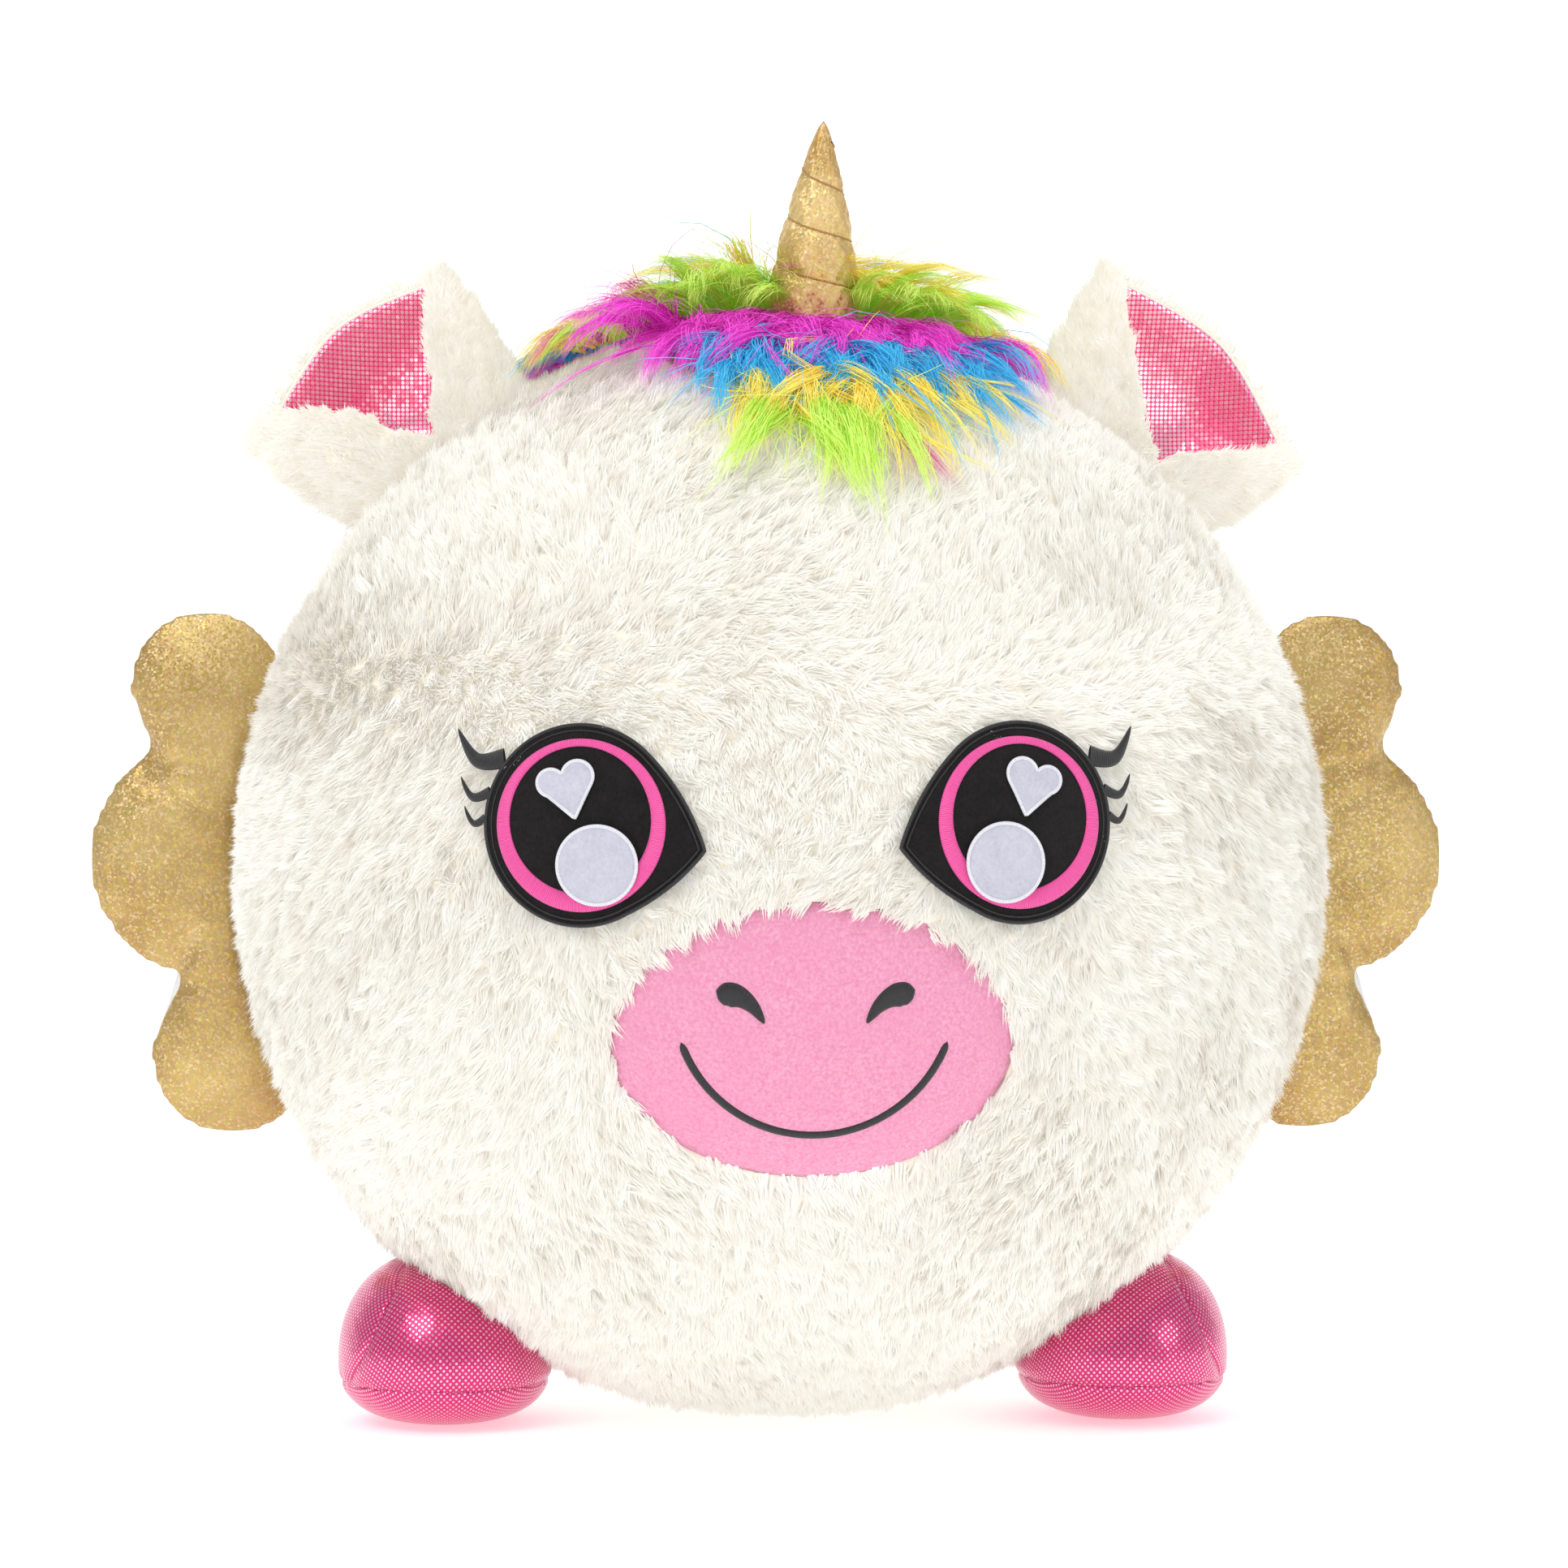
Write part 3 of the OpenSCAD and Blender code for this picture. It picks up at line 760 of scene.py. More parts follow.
# %% Smile and nostrils
SMILE_HALF, SMILE_DIP = 0.0655, 0.0465
smile_radius = (SMILE_HALF ** 2 + SMILE_DIP ** 2) / (2 * SMILE_DIP)
end_angle = math.asin((smile_radius - SMILE_DIP) / smile_radius)
smile_path = []
for t in np.linspace(math.pi + end_angle, 2 * math.pi - end_angle, 90):
    smile_path.append(muzzle_surface(smile_radius * math.cos(t),
                                     MUZZLE[2] + smile_radius - SMILE_DIP + smile_radius * math.sin(t)))
bm = bmesh.new()
ends = np.minimum(1, np.sqrt(np.clip(np.minimum(np.arange(90), 89 - np.arange(90)) / 2.2, 0, 1)))
satin_band(bm, smile_path, away_from_ball(smile_path), 0.0021 * ends + 1e-5, 0.0009)
smile = band_piece("smile_stitches", bm, black_thread)
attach(smile, "torso")
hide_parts("smile_stitch")

for side, sign in (("right", 1), ("left", -1)):
    line = curve_through([(0.0478, 0.0215), (0.0425, 0.0235), (0.0365, 0.0220), (0.0310, 0.0178),
                          (0.0270, 0.0125), (0.0252, 0.0095)], 40)
    width = np.interp(np.linspace(0, 1, 40), (0, 0.05, 0.17, 0.3, 0.45, 0.7, 1),
                      (0.0003, 0.0042, 0.0063, 0.0061, 0.0048, 0.0027, 0.0004))
    path = [muzzle_surface(sign * x, MUZZLE[2] + z) for x, z in line]
    bm = bmesh.new()
    satin_band(bm, path, away_from_ball(path), width, 0.0012)
    nostril = band_piece(f"{side}_nostril_stitches", bm, black_thread)
    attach(nostril, "torso")
    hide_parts(f"{side}_nostril")
print("smile radius", round(smile_radius, 4), "m")

# %% [markdown]
# ## Felt eyes
# Each eye is a stack: a black felt teardrop, a pink satin ring that is thin above and thick
# below, then a heart and a round glint in grey felt with white satin borders. Felt has no
# threads, only matted fibres, so its finish is a fine blotchy grain. The stack lies on the pile
# and the surrounding tufts hide its edge here and there.

# %% Felt finishes
def felt_finish(name, dark, light):
    material = finish(name, light, 0.95, Specular_IOR_Level=0.2, Sheen_Weight=0.15)
    fibres = Nodes(material)
    where = fibres.place((1, 1, 1))
    matted = fibres.noise(where, 550.0, 6.0, 0.7)
    clouds = fibres.noise(where, 110.0, 4.0)
    mix = fibres.math("ADD", fibres.math("MULTIPLY", matted, 0.65), fibres.math("MULTIPLY", clouds, 0.35))
    fibres.wire(fibres.blend(fibres.ramp(mix, 0.35, 0.65), linear(dark), linear(light)), "Base Color")
    fibres.wire(fibres.bump(matted, 0.0006, 0.8), "Normal")
    return material


black_felt = felt_finish("black_felt", "0C0B0B", "1F1C1C")
grey_felt = felt_finish("grey_felt", "BDBDCC", "D2D2DF")
ring_thread = stitch_finish("pink_satin_stitch", "E42A8C", "F765B2", 0.9)
white_thread = stitch_finish("white_satin_stitch", "DCDCE6", "F4F4FA", 0.9)

# %% Outlines made of circles
def reach_of_union(circles, corners):
    """The outline of overlapping circles and one convex shape that hold (0, 0) between them."""
    angles = np.linspace(-math.pi, math.pi, 1441)
    ux, uz = np.cos(angles), np.sin(angles)
    reach = np.full(len(angles), 1e9)
    for (ax, az), (bx, bz) in zip(corners, corners[1:] + corners[:1]):
        nx, nz = bz - az, ax - bx
        facing = nx * ux + nz * uz
        offset = nx * ax + nz * az
        if offset < 0:
            facing, offset = -facing, -offset
        reach = np.where(facing > 1e-9, np.minimum(reach, offset / np.maximum(facing, 1e-9)), reach)
    for x, z, r in circles:
        toward = ux * x + uz * z
        inside = r * r - x * x - z * z + toward ** 2
        far = toward + np.sqrt(np.maximum(inside, 0))
        reach = np.where((inside > 0) & (far > 0), np.maximum(reach, far), reach)
    return lambda a: np.interp(a, angles, reach)


heart_reach = reach_of_union(
    [(-0.0064, 0.0052, 0.0078), (0.0068, 0.0018, 0.0069)],
    [(-0.0136, 0.0020), (-0.0052, -0.0160), (0.0134, -0.0010), (0.0070, 0.0060), (-0.0050, 0.0080)])
round_reach = oval_reach(0.0196, 0.0196)
print("heart is", round(2 * float(heart_reach(0)) / MM, 1), "mm or so across")


# %% Eyes
def layer(top):
    return lambda out, x, z: top - 0.0007 * out ** 14


def outline_path(middle, reach, inset, r, sign, count=140):
    path = []
    for t in np.linspace(0, 2 * math.pi, count):
        angle = math.atan2(math.sin(t), math.cos(t))
        d = float(reach(angle)) - inset
        path.append(on_front(middle[0] + sign * d * math.cos(t), middle[1] + d * math.sin(t), r))
    return path


def bordered(name, middle, reach, top, sign, node, count):
    """A glint of grey felt with a white satin border, joined to one piece."""
    felt = pressed(name, middle, reach, layer(top), 0.0014, grey_felt, sign < 0, 30)
    felt.data.materials.append(white_thread)
    bm = bmesh.new()
    bm.from_mesh(felt.data)
    before = set(bm.faces)
    path = outline_path(middle, reach, 0.0004, top - 0.0003, sign, count)
    satin_band(bm, path, away_from_ball(path), 0.00095, 0.0008, 8)
    for f in bm.faces:
        if f not in before:
            f.material_index = 1
            f.smooth = True
    bm.to_mesh(felt.data)
    bm.free()
    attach(felt, "torso")
    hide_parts(node)
    return felt


FELT_TOP = BALL_R + 0.0021
LASHES = [((0.0370, 0.0330), (0.0505, 0.0335), (0.0600, 0.0478), 0.0050),
          ((0.0440, 0.0165), (0.0525, 0.0150), (0.0585, 0.0238), 0.0027),
          ((0.0465, 0.0035), (0.0520, 0.0020), (0.0568, 0.0092), 0.0021)]
for side, sign in (("right", 1), ("left", -1)):
    middle = EYES[side]
    felt = pressed(f"{side}_eye_black_felt", middle, eye_reach, layer(FELT_TOP), 0.0016, black_felt,
                   sign < 0, 60)
    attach(felt, "torso")
    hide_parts(f"{side}_eye_felt")

    bm = bmesh.new()
    path = outline_path(middle, eye_reach, 0.0009, FELT_TOP - 0.0006, sign, 200)
    satin_band(bm, path, away_from_ball(path), 0.0010, 0.0009, 8)
    path = outline_path(middle, eye_reach, 0.0037, FELT_TOP, sign, 200)
    satin_band(bm, path, away_from_ball(path), 0.0004, 0.0004, 6)
    border = band_piece(f"{side}_eye_border_stitches", bm, black_thread)
    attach(border, "torso")

    path, width = [], []
    for t in np.linspace(0, 2 * math.pi, 160):
        c, s = math.cos(t), math.sin(t)
        outer = (0.0412 * c, 0.0426 * s)
        inner = (0.0342 * c, 0.0026 + 0.0360 * s)
        x, z = (outer[0] + inner[0]) / 2, (outer[1] + inner[1]) / 2
        path.append(on_front(middle[0] + sign * x, middle[1] + z, FELT_TOP + 0.0003))
        width.append(math.hypot(outer[0] - inner[0], outer[1] - inner[1]) / 2)
    bm = bmesh.new()
    satin_band(bm, path, away_from_ball(path), np.array(width), 0.0011, 12)
    ring = band_piece(f"{side}_iris_ring_stitches", bm, ring_thread)
    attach(ring, "torso")
    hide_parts(f"{side}_iris_ring")

    heart_middle = (middle[0] + sign * 0.0078, middle[1] + 0.0190)
    bordered(f"{side}_heart_felt", heart_middle, heart_reach, FELT_TOP + 0.0016, sign,
             f"{side}_heart_glint", 120)
    round_middle = (middle[0] - sign * 0.0077, middle[1] - 0.0196)
    bordered(f"{side}_round_felt", round_middle, round_reach, FELT_TOP + 0.0029, sign,
             f"{side}_round_glint", 120)

    bm = bmesh.new()
    for root, bend, tip, half in LASHES:
        line = curve_through([root, bend, tip], 26)
        line = line + np.outer(np.sin(np.linspace(0, math.pi, 26)), (0.0004, -0.0012))
        path = [on_front(middle[0] + sign * x, middle[1] + z, BALL_R + 0.0013) for x, z in line]
        width = half * (1 - np.linspace(0, 1, 26) ** 1.6) + 0.0002
        satin_band(bm, path, away_from_ball(path), width, 0.0012, 8)
    lashes = band_piece(f"{side}_lash_stitches", bm, black_thread)
    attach(lashes, "torso")
    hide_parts(f"{side}_eyelashes")
print("eyes stand", FELT_TOP, "m from the middle of the ball")

# %% [markdown]
# ## Foil dot fabric
# The ears are lined and the feet are covered with a pink fabric printed with small round dots of
# mirror foil. The UV map of these pieces counts in dots, so the finish takes the fraction of
# each coordinate, measures from the middle of each cell, and draws one dot. Each dot is tilted
# a little differently, which makes some flash white while others stay dark.

# %% Foil and glitter
DOT = 0.00245                              # distance from dot to dot


def foil_fabric(name, dark, light, silver, dot_size):
    material = finish(name, light, 0.35, Coat_Weight=0.5, Coat_Roughness=0.25)
    foil = Nodes(material)
    where = foil.place((1, 1, 1), uv=True)
    middle = foil.vector("SUBTRACT", foil.vector("FRACTION", where), (0.5, 0.5, 0.0))
    distance = foil.vector("LENGTH", middle, out="Value")
    dot = foil.ramp(distance, dot_size - 0.03, dot_size + 0.03, 1.0, 0.0)
    number = foil.vector("FLOOR", where)
    random = foil.add("ShaderNodeTexWhiteNoise", (0, number)).outputs["Color"]
    tipped = foil.tipped_normal(random, 0.13)
    cloth = foil.noise(where, 0.8, 3.0)
    pink = foil.blend(cloth, linear(dark), linear(light))
    foil.wire(foil.blend(dot, pink, linear(silver)), "Base Color")
    foil.wire(foil.ramp(dot, 0.0, 1.0, 0.55, 1.0), "Metallic")
    foil.wire(foil.ramp(dot, 0.0, 1.0, 0.34, 0.2), "Roughness")
    foil.wire(foil.bump(dot, 0.0002, 0.6, tipped), "Normal")
    return material


pink_foil = foil_fabric("pink_foil_fabric", "C81060", "E4287F", "FFB4D4", 0.28)
ear_foil = foil_fabric("pink_foil_lining", "EC2F7C", "FF5A9E", "FFE3ED", 0.42)
# The lining also glows a little pink: painted light that brightens the foil inside the ear.
ear_glow = ear_foil.node_tree.nodes["Principled BSDF"].inputs
ear_glow["Emission Color"].default_value = linear("FF5C9A")
ear_glow["Emission Strength"].default_value = 0.10


def glitter_fabric(name, dark, light):
    """Gold fabric under a fine holographic glitter: each flake has its own tilt and tint."""
    material = finish(name, light, 0.42)
    glitter = Nodes(material)
    where = glitter.place((1, 1, 1))
    flakes = glitter.add("ShaderNodeTexVoronoi", ("Vector", where), ("Scale", 900.0)).outputs["Color"]
    value = glitter.add("ShaderNodeSeparateColor", (0, flakes))
    bright = glitter.ramp(value.outputs[0], 0.72, 0.95)
    cloud = glitter.noise(where, 22.0, 3.0)
    cloth = glitter.blend(glitter.ramp(cloud, 0.35, 0.65), linear(dark), linear(light))
    tinted = glitter.blend(0.10, cloth, flakes)
    # A random part of the flakes is painted pale gold in the base colour: painted glints, beside the real
    # glints that the tipped flakes throw.
    painted_glint = glitter.math("MULTIPLY", bright, 0.42)
    glitter.wire(glitter.blend(painted_glint, tinted, linear("F6E9BE")), "Base Color")
    glitter.wire(glitter.ramp(value.outputs[1], 0.0, 1.0, 0.35, 0.8), "Metallic")
    glitter.wire(glitter.ramp(value.outputs[2], 0.0, 1.0, 0.28, 0.5), "Roughness")
    tipped = glitter.tipped_normal(flakes, 0.38)
    weave = glitter.noise(where, 260.0, 2.0)
    glitter.wire(glitter.bump(weave, 0.0004, 0.5, tipped), "Normal")
    return material


gold_fabric = glitter_fabric("horn_gold_fabric", "CDA24E", "F0CE84")
wing_fabric = glitter_fabric("wing_gold_fabric", "B48C3E", "CFAD62")
gold_thread = stitch_finish("gold_thread", "9A7433", "C39A50", 1.2, 0.5)
print("dots every", DOT / MM, "mm")

# %% [markdown]
# ## Ears
# An ear is a round double layer, fur behind and foil in front, whose two sides are folded
# forward and caught together at the root. Five guide lines run from the root to the rim: the
# two folded edges, the two sides where the layer turns, and the back. A grid is laid through
# them, the guides first and then across, and a second sheet a few millimetres inside it is the
# lining. The two ears are sewn by hand and sit differently, so each has its own guides.

# %% Ear shapes
EAR_ANGLE = math.radians(40)
EAR_GUIDES = {
    "right": [[(13, 289, -25), (9, 302, -28), (-1, 308, -29), (-33, 335, -25), (-66, 362, -13)],
              [(-59, 285, -6), (-61, 300, -5), (-67, 322, -3), (-71, 346, -5), (-68, 367, -9)],
              [(4, 284, 19), (4, 302, 25), (4, 324, 29), (4, 352, 22), (2, 380, 3)],
              [(53, 280, -6), (59, 298, -4), (66, 316, -3), (70, 337, -6), (68, 353, -10)],
              [(14, 289, -25), (20, 306, -27), (30, 318, -28), (45, 331, -24), (64, 348, -13)]],
    "left": [[(-1, 287, -25), (-8, 303, -28), (-22, 319, -29), (-37, 341, -24), (-60, 365, -10)],
             [(-58, 285, -6), (-61, 303, -4), (-64, 327, -3), (-65, 348, -4), (-62, 367, -7)],
             [(0, 284, 19), (0, 302, 25), (0, 324, 29), (0, 354, 20), (-2, 383, -4)],
             [(49, 280, -6), (55, 298, -4), (62, 316, -3), (67, 340, -6), (66, 362, -10)],
             [(-4, 288, -25), (4, 306, -28), (19, 334, -30), (38, 352, -26), (62, 364, -11)]],
}


def through(points, t):
    """A smooth line through points (m, n, 3), read at t in 0 to 1 for each of the n columns."""
    m = len(points)
    x = t * (m - 1)
    i = np.clip(x.astype(int), 0, m - 2)
    f = (x - i)[:, None]
    column = np.arange(points.shape[1])
    get = lambda j: points[np.clip(j, 0, m - 1), column]
    a, b, c, d = get(i - 1), get(i), get(i + 1), get(i + 2)
    return spline_point(a, b, c, d, f)


def ear_point(side, s, b):
    """Points of the ear sheet: s runs from edge to edge and b from the root to the rim."""
    rows = []
    for guide in EAR_GUIDES[side]:
        rows.append(through(np.repeat(np.array(guide, float)[:, None], len(b), 1), b))
    local = through(np.stack(rows), s) * MM
    sign = 1 if side == "right" else -1
    radial = np.array([sign * math.sin(EAR_ANGLE), 0, math.cos(EAR_ANGLE)])
    tangent = np.array([sign * math.cos(EAR_ANGLE), 0, -math.sin(EAR_ANGLE)])
    ahead = np.array([0, 1, 0])
    return np.array(BALL) + local[:, :1] * tangent + local[:, 1:2] * radial + local[:, 2:] * ahead


def ear_frame(side, s, b):
    """The ear's point, outward direction and rimward direction."""
    p = ear_point(side, s, b)
    ds = ear_point(side, np.minimum(s + 0.01, 1), b) - ear_point(side, np.maximum(s - 0.01, 0), b)
    db = ear_point(side, s, np.minimum(b + 0.01, 1)) - ear_point(side, s, np.maximum(b - 0.01, 0))
    normal = unit(np.cross(ds, db))
    if side == "right":
        normal = -normal
    return p, normal, unit(db)


probe = ear_frame("right", np.array([0.5]), np.array([0.5]))
probe_left = ear_frame("left", np.array([0.5]), np.array([0.5]))
print("ear back faces", probe[1].round(2), probe_left[1].round(2))
EAR_TURN = {"right": 1 if probe[1][0, 1] > 0 else -1, "left": 1 if probe_left[1][0, 1] > 0 else -1}


def ear_sheet(name, side, inset, depth, rim, material, cells=(56, 30)):
    """One layer of the ear, `inset` inside the fold lines, with its rim cut back by `rim`."""
    bm = bmesh.new()
    uv = bm.loops.layers.uv.new("UVMap")
    bmesh.ops.create_grid(bm, x_segments=cells[0], y_segments=cells[1], size=1)
    verts = bm.verts[:]
    flat = np.array([v.co[:2] for v in verts])
    s = (flat[:, 0] / flat[:, 0].max() + 1) / 2
    b = (flat[:, 1] / flat[:, 1].max() + 1) / 2
    s = 0.5 + (s - 0.5) * (1 - rim * 0.4)
    b = b * (1 - rim)
    p, normal, rimward = ear_frame(side, s, b)
    normal = normal * EAR_TURN[side]
    crease = 0.0006 * np.sin(38 * s + 4 * b) * np.sin(math.pi * b) if inset else 0.0
    co = p - normal * inset - normal * np.reshape(crease, (-1, 1) if inset else ())
    local = {}
    for v, c in zip(verts, co):
        v.co = c
        local[v] = (c[0] / DOT, c[2] / DOT)
    for f in bm.faces:
        for corner in f.loops:
            corner[uv].uv = local[corner.vert]
    face_outwards(bm, normal[len(normal) // 2])
    thicken(bm, -depth)
    return mesh_piece(name, bm, material)


for side in ("right", "left"):
    shell = ear_sheet(f"{side}_ear_fur_panel", side, 0, 0.0024, 0.0, fur_backing)
    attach(shell, f"{side}_ear")
    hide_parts(f"{side}_ear_shell")
    lining = ear_sheet(f"{side}_ear_foil_panel", side, 0.0040, 0.0008, 0.0, ear_foil)
    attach(lining, f"{side}_ear")
    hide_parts(f"{side}_ear_lining")

# %% [markdown]
# ## Fur of the ears
# The same tufts grow on the outside of each ear, combed from the root to the rim. Past the rim
# they stand about 9 mm proud, and along the folded edges they hang over the foil in points.

# %% Ear pile
# The ear pile glows more strongly than the ball's pile: painted light that brightens the ear fur.
ear_shades = [pile_finish(f"ear_fur_{i + 1}", code, 0.13) for i, code in enumerate(fur_codes)]
for side in ("right", "left"):
    count = 1700
    s = np.clip(rng.uniform(-0.01, 1.01, count), 0, 1)
    b = np.clip(rng.uniform(0.0, 1.02, count) ** 0.8, 0, 1)
    p, normal, rimward = ear_frame(side, s, b)
    normal = normal * EAR_TURN[side]
    ahead = ear_frame(side, np.clip(s + 0.01, 0, 1), b)[0]
    behind = ear_frame(side, np.clip(s - 0.01, 0, 1), b)[0]
    edgeward = ahead - behind
    pull = np.clip((np.abs(s - 0.5) - 0.36) * 7, 0, 1) * np.sign(s - 0.5)
    comb = flat_to(rimward + unit(edgeward) * (pull * 0.9)[:, None], normal)
    comb = turn_about(comb, normal, rng.normal(0, 0.4, count))
    made = fur_blades(p, normal, comb, 34, 0.0046, 0.0108, 0.95, 0.0007)
    pile = blade_piece(f"{side}_ear_pile", *made, ear_shades, f"{side}_ear")
# %% [markdown]
# ## Horn
# The horn is a stuffed cone of gold fabric with a thread wound round it and pulled tight, so the
# cloth bulges between the turns. Half its outline is spun round the axis to a closed cone, and
# each vertex is then pushed in according to how near it is to the winding. The same rule gives
# the path of the thread, which lies in the bottom of the groove.

# %% Horn
HORN_TILT, HORN_LEAN = math.radians(10.5), math.radians(2.7)
HORN_AXIS = Vector((math.sin(HORN_LEAN) * math.cos(HORN_TILT), -math.sin(HORN_TILT),
                    math.cos(HORN_LEAN) * math.cos(HORN_TILT)))
HORN_FOOT, HORN_LENGTH, HORN_PITCH = 0.301, 0.107, 0.0255
horn_turn = HORN_AXIS.to_track_quat("Z", "Y").to_matrix().to_4x4()
to_horn = Matrix.Translation(BALL) @ horn_turn


def horn_girth(h):
    """Radius of the horn at a height above its root, over the bulges."""
    from_tip = (0, 0.004, 0.013, 0.027, 0.041, 0.053, 0.066, 0.088, 0.107, 0.130)
    radius = (0.0, 0.0028, 0.0062, 0.0102, 0.0142, 0.0172, 0.0202, 0.0236, 0.0252, 0.0254)
    return float(np.interp(HORN_LENGTH - h, from_tip, radius))


def horn_winding(h, angle):
    """How far a spot lies from the thread: 0 on it, 1 midway between two turns."""
    turn = h / HORN_PITCH + angle / (2 * math.pi) + 0.35
    return abs(math.sin(math.pi * turn))


def horn_groove(h, angle):
    depth = 0.0016 * min(1, max(HORN_LENGTH - h, 0) / 0.07)
    bulge = min(1, 1.6 * horn_winding(h, angle)) ** 0.7
    crinkle = 0.00035 * math.sin(9 * angle + 300 * h) + 0.00025 * math.sin(17 * angle - 500 * h)
    return -depth * (1 - bulge) + crinkle * min(1, (HORN_LENGTH - h) / 0.03)


def horn_body(inset):
    bm = bmesh.new()
    steps = 70
    heights = [-0.020 + (HORN_LENGTH - inset + 0.020) * k / steps for k in range(steps + 1)]
    profile = []
    for k, h in enumerate(heights):
        r = 0.0 if k in (0, steps) else max(horn_girth(h) - inset, 0.0004)
        profile.append(bm.verts.new((r, 0, h)))
    edges = [bm.edges.new(pair) for pair in zip(profile, profile[1:])]
    bmesh.ops.spin(bm, geom=profile + edges, cent=(0, 0, 0), axis=(0, 0, 1), angle=2 * math.pi,
                   steps=96, use_merge=True)
    bmesh.ops.remove_doubles(bm, verts=bm.verts[:], dist=1e-5)
    bmesh.ops.recalc_face_normals(bm, faces=bm.faces[:])
    for v in bm.verts:
        r = math.hypot(v.co.x, v.co.y)
        if r > 1e-4:
            angle = math.atan2(v.co.y, v.co.x)
            grown = max(r + horn_groove(v.co.z, angle), 0.0002) / r
            v.co.x *= grown
            v.co.y *= grown
        v.co.z += HORN_FOOT
    bmesh.ops.transform(bm, matrix=to_horn, verts=bm.verts[:])
    return bm


horn = mesh_piece("horn_gold_cover", horn_body(0.0), gold_fabric)
horn_filling = mesh_piece("horn_filling", horn_body(0.0022), polyester)

bm = bmesh.new()
line, away = [], []
for k in range(260):
    h = -0.004 + 0.100 * k / 259
    angle = -2 * math.pi * (h / HORN_PITCH + 0.35)
    r = horn_girth(h) + horn_groove(h, angle) + 0.0002
    line.append(to_horn @ Vector((r * math.cos(angle), r * math.sin(angle), HORN_FOOT + h)))
    away.append(horn_turn.to_3x3() @ Vector((math.cos(angle), math.sin(angle), 0)))
satin_band(bm, line, away, 0.00065, 0.0006, 8)
horn_thread = band_piece("horn_winding_thread", bm, gold_thread)
for piece, node, slot in ((horn, "horn_cover", "gold_glitter_fabric"),
                          (horn_filling, "horn_stuffing", "polyester_fill"),
                          (horn_thread, "horn_spiral_thread", "gold_thread")):
    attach(piece, "horn")
    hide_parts(node)
print("horn tip at", [round(c, 3) for c in to_horn @ Vector((0, 0, HORN_FOOT + HORN_LENGTH))])

# %% [markdown]
# ## Padded wings
# A wing is two layers of gold fabric sewn round a scalloped outline and filled with batting, a
# flat pillow. Its outline is a union of four circles. Two rounded grids, front and back, are
# stretched to it and joined at the edge, and then Blender's cloth inflates them a little, so
# the fabric finds its own creases at the notches. The left wing is the right one mirrored.

# %% Inflating fabric
def settled_mesh(piece):
    graph = bpy.context.evaluated_depsgraph_get()
    mesh = bpy.data.meshes.new_from_object(piece.evaluated_get(graph))
    piece.modifiers.clear()
    piece.data = mesh
    return piece


def inflate(piece, voxel, cap, pressure=4.0, stiff=15.0):
    """Remeshes a closed form and lets cloth pressure fill it, with no point moving past cap."""
    remesh = piece.modifiers.new("even_faces", "REMESH")
    remesh.mode = "VOXEL"
    remesh.voxel_size = voxel
    settled_mesh(piece)
    start = np.array([v.co[:] for v in piece.data.vertices])
    cloth = piece.modifiers.new("fabric", "CLOTH").settings
    cloth.quality = 6
    cloth.mass = 0.25
    cloth.tension_stiffness = stiff
    cloth.compression_stiffness = stiff
    cloth.bending_stiffness = 0.3
    cloth.use_pressure = True
    cloth.uniform_pressure_force = pressure
    cloth.effector_weights.gravity = 0
    for frame_number in range(1, 21):
        scene.frame_set(frame_number)
    settled_mesh(piece)
    scene.frame_set(1)
    end = np.array([v.co[:] for v in piece.data.vertices])
    move = end - start
    far = np.linalg.norm(move, axis=1, keepdims=True)
    end = start + move * np.minimum(1, cap / np.maximum(far, 1e-9))
    piece.data.vertices.foreach_set("co", end.ravel())
    piece.data.update()
    print(piece.name, "moved up to", round(float(min(far.max(), cap)) / MM, 1), "mm")
    return piece


# %% Wings
WING_ROOT = 0.2935
WING_MIDDLE = Vector((0.312, -0.004))
WING_CIRCLES = [(0.3165, 0.1000, 0.0435), (0.3060, 0.0660, 0.0480), (0.3190, 0.0050, 0.0655),
                (0.3020, -0.1040, 0.0460)]
circles = [(x - WING_MIDDLE.x, z - WING_MIDDLE.y, r) for x, z, r in WING_CIRCLES]
block = [(x - WING_MIDDLE.x, z - WING_MIDDLE.y) for x, z in
         ((0.280, -0.104), (0.325, -0.104), (0.325, 0.085), (0.280, 0.085))]
wing_union = reach_of_union(circles, block)


def wing_reach(angle):
    """The scalloped outline, cut back where it would run into the ball."""
    far = float(wing_union(angle))
    ux, uz = math.cos(angle), math.sin(angle)
    along = WING_MIDDLE.x * ux + WING_MIDDLE.y * uz
    inside = along * along - (WING_MIDDLE.length_squared - WING_ROOT ** 2)
    if along < 0 and inside > 0:
        far = min(far, -along - math.sqrt(inside))
    return far


def wing_pillow(shrink, half_thick):
    bm = bmesh.new()
    for face in (-1, 1):
        sheet = bmesh.new()
        for v, out, angle in disc_grid(sheet, 56):
            d = out * (wing_reach(angle) - shrink)
            soft = half_thick * max(1 - out ** 3, 0) ** 0.6
            v.co = (WING_MIDDLE.x + d * math.cos(angle), SEAM_Y + face * soft,
                    BALL.z + WING_MIDDLE.y + d * math.sin(angle))
        face_outwards(sheet, (0, face, 0))
        mesh = bpy.data.meshes.new("half")
        sheet.to_mesh(mesh)
        sheet.free()
        bm.from_mesh(mesh)
        bpy.data.meshes.remove(mesh)
    bmesh.ops.remove_doubles(bm, verts=bm.verts[:], dist=1e-5)
    bmesh.ops.recalc_face_normals(bm, faces=bm.faces[:])
    return bm


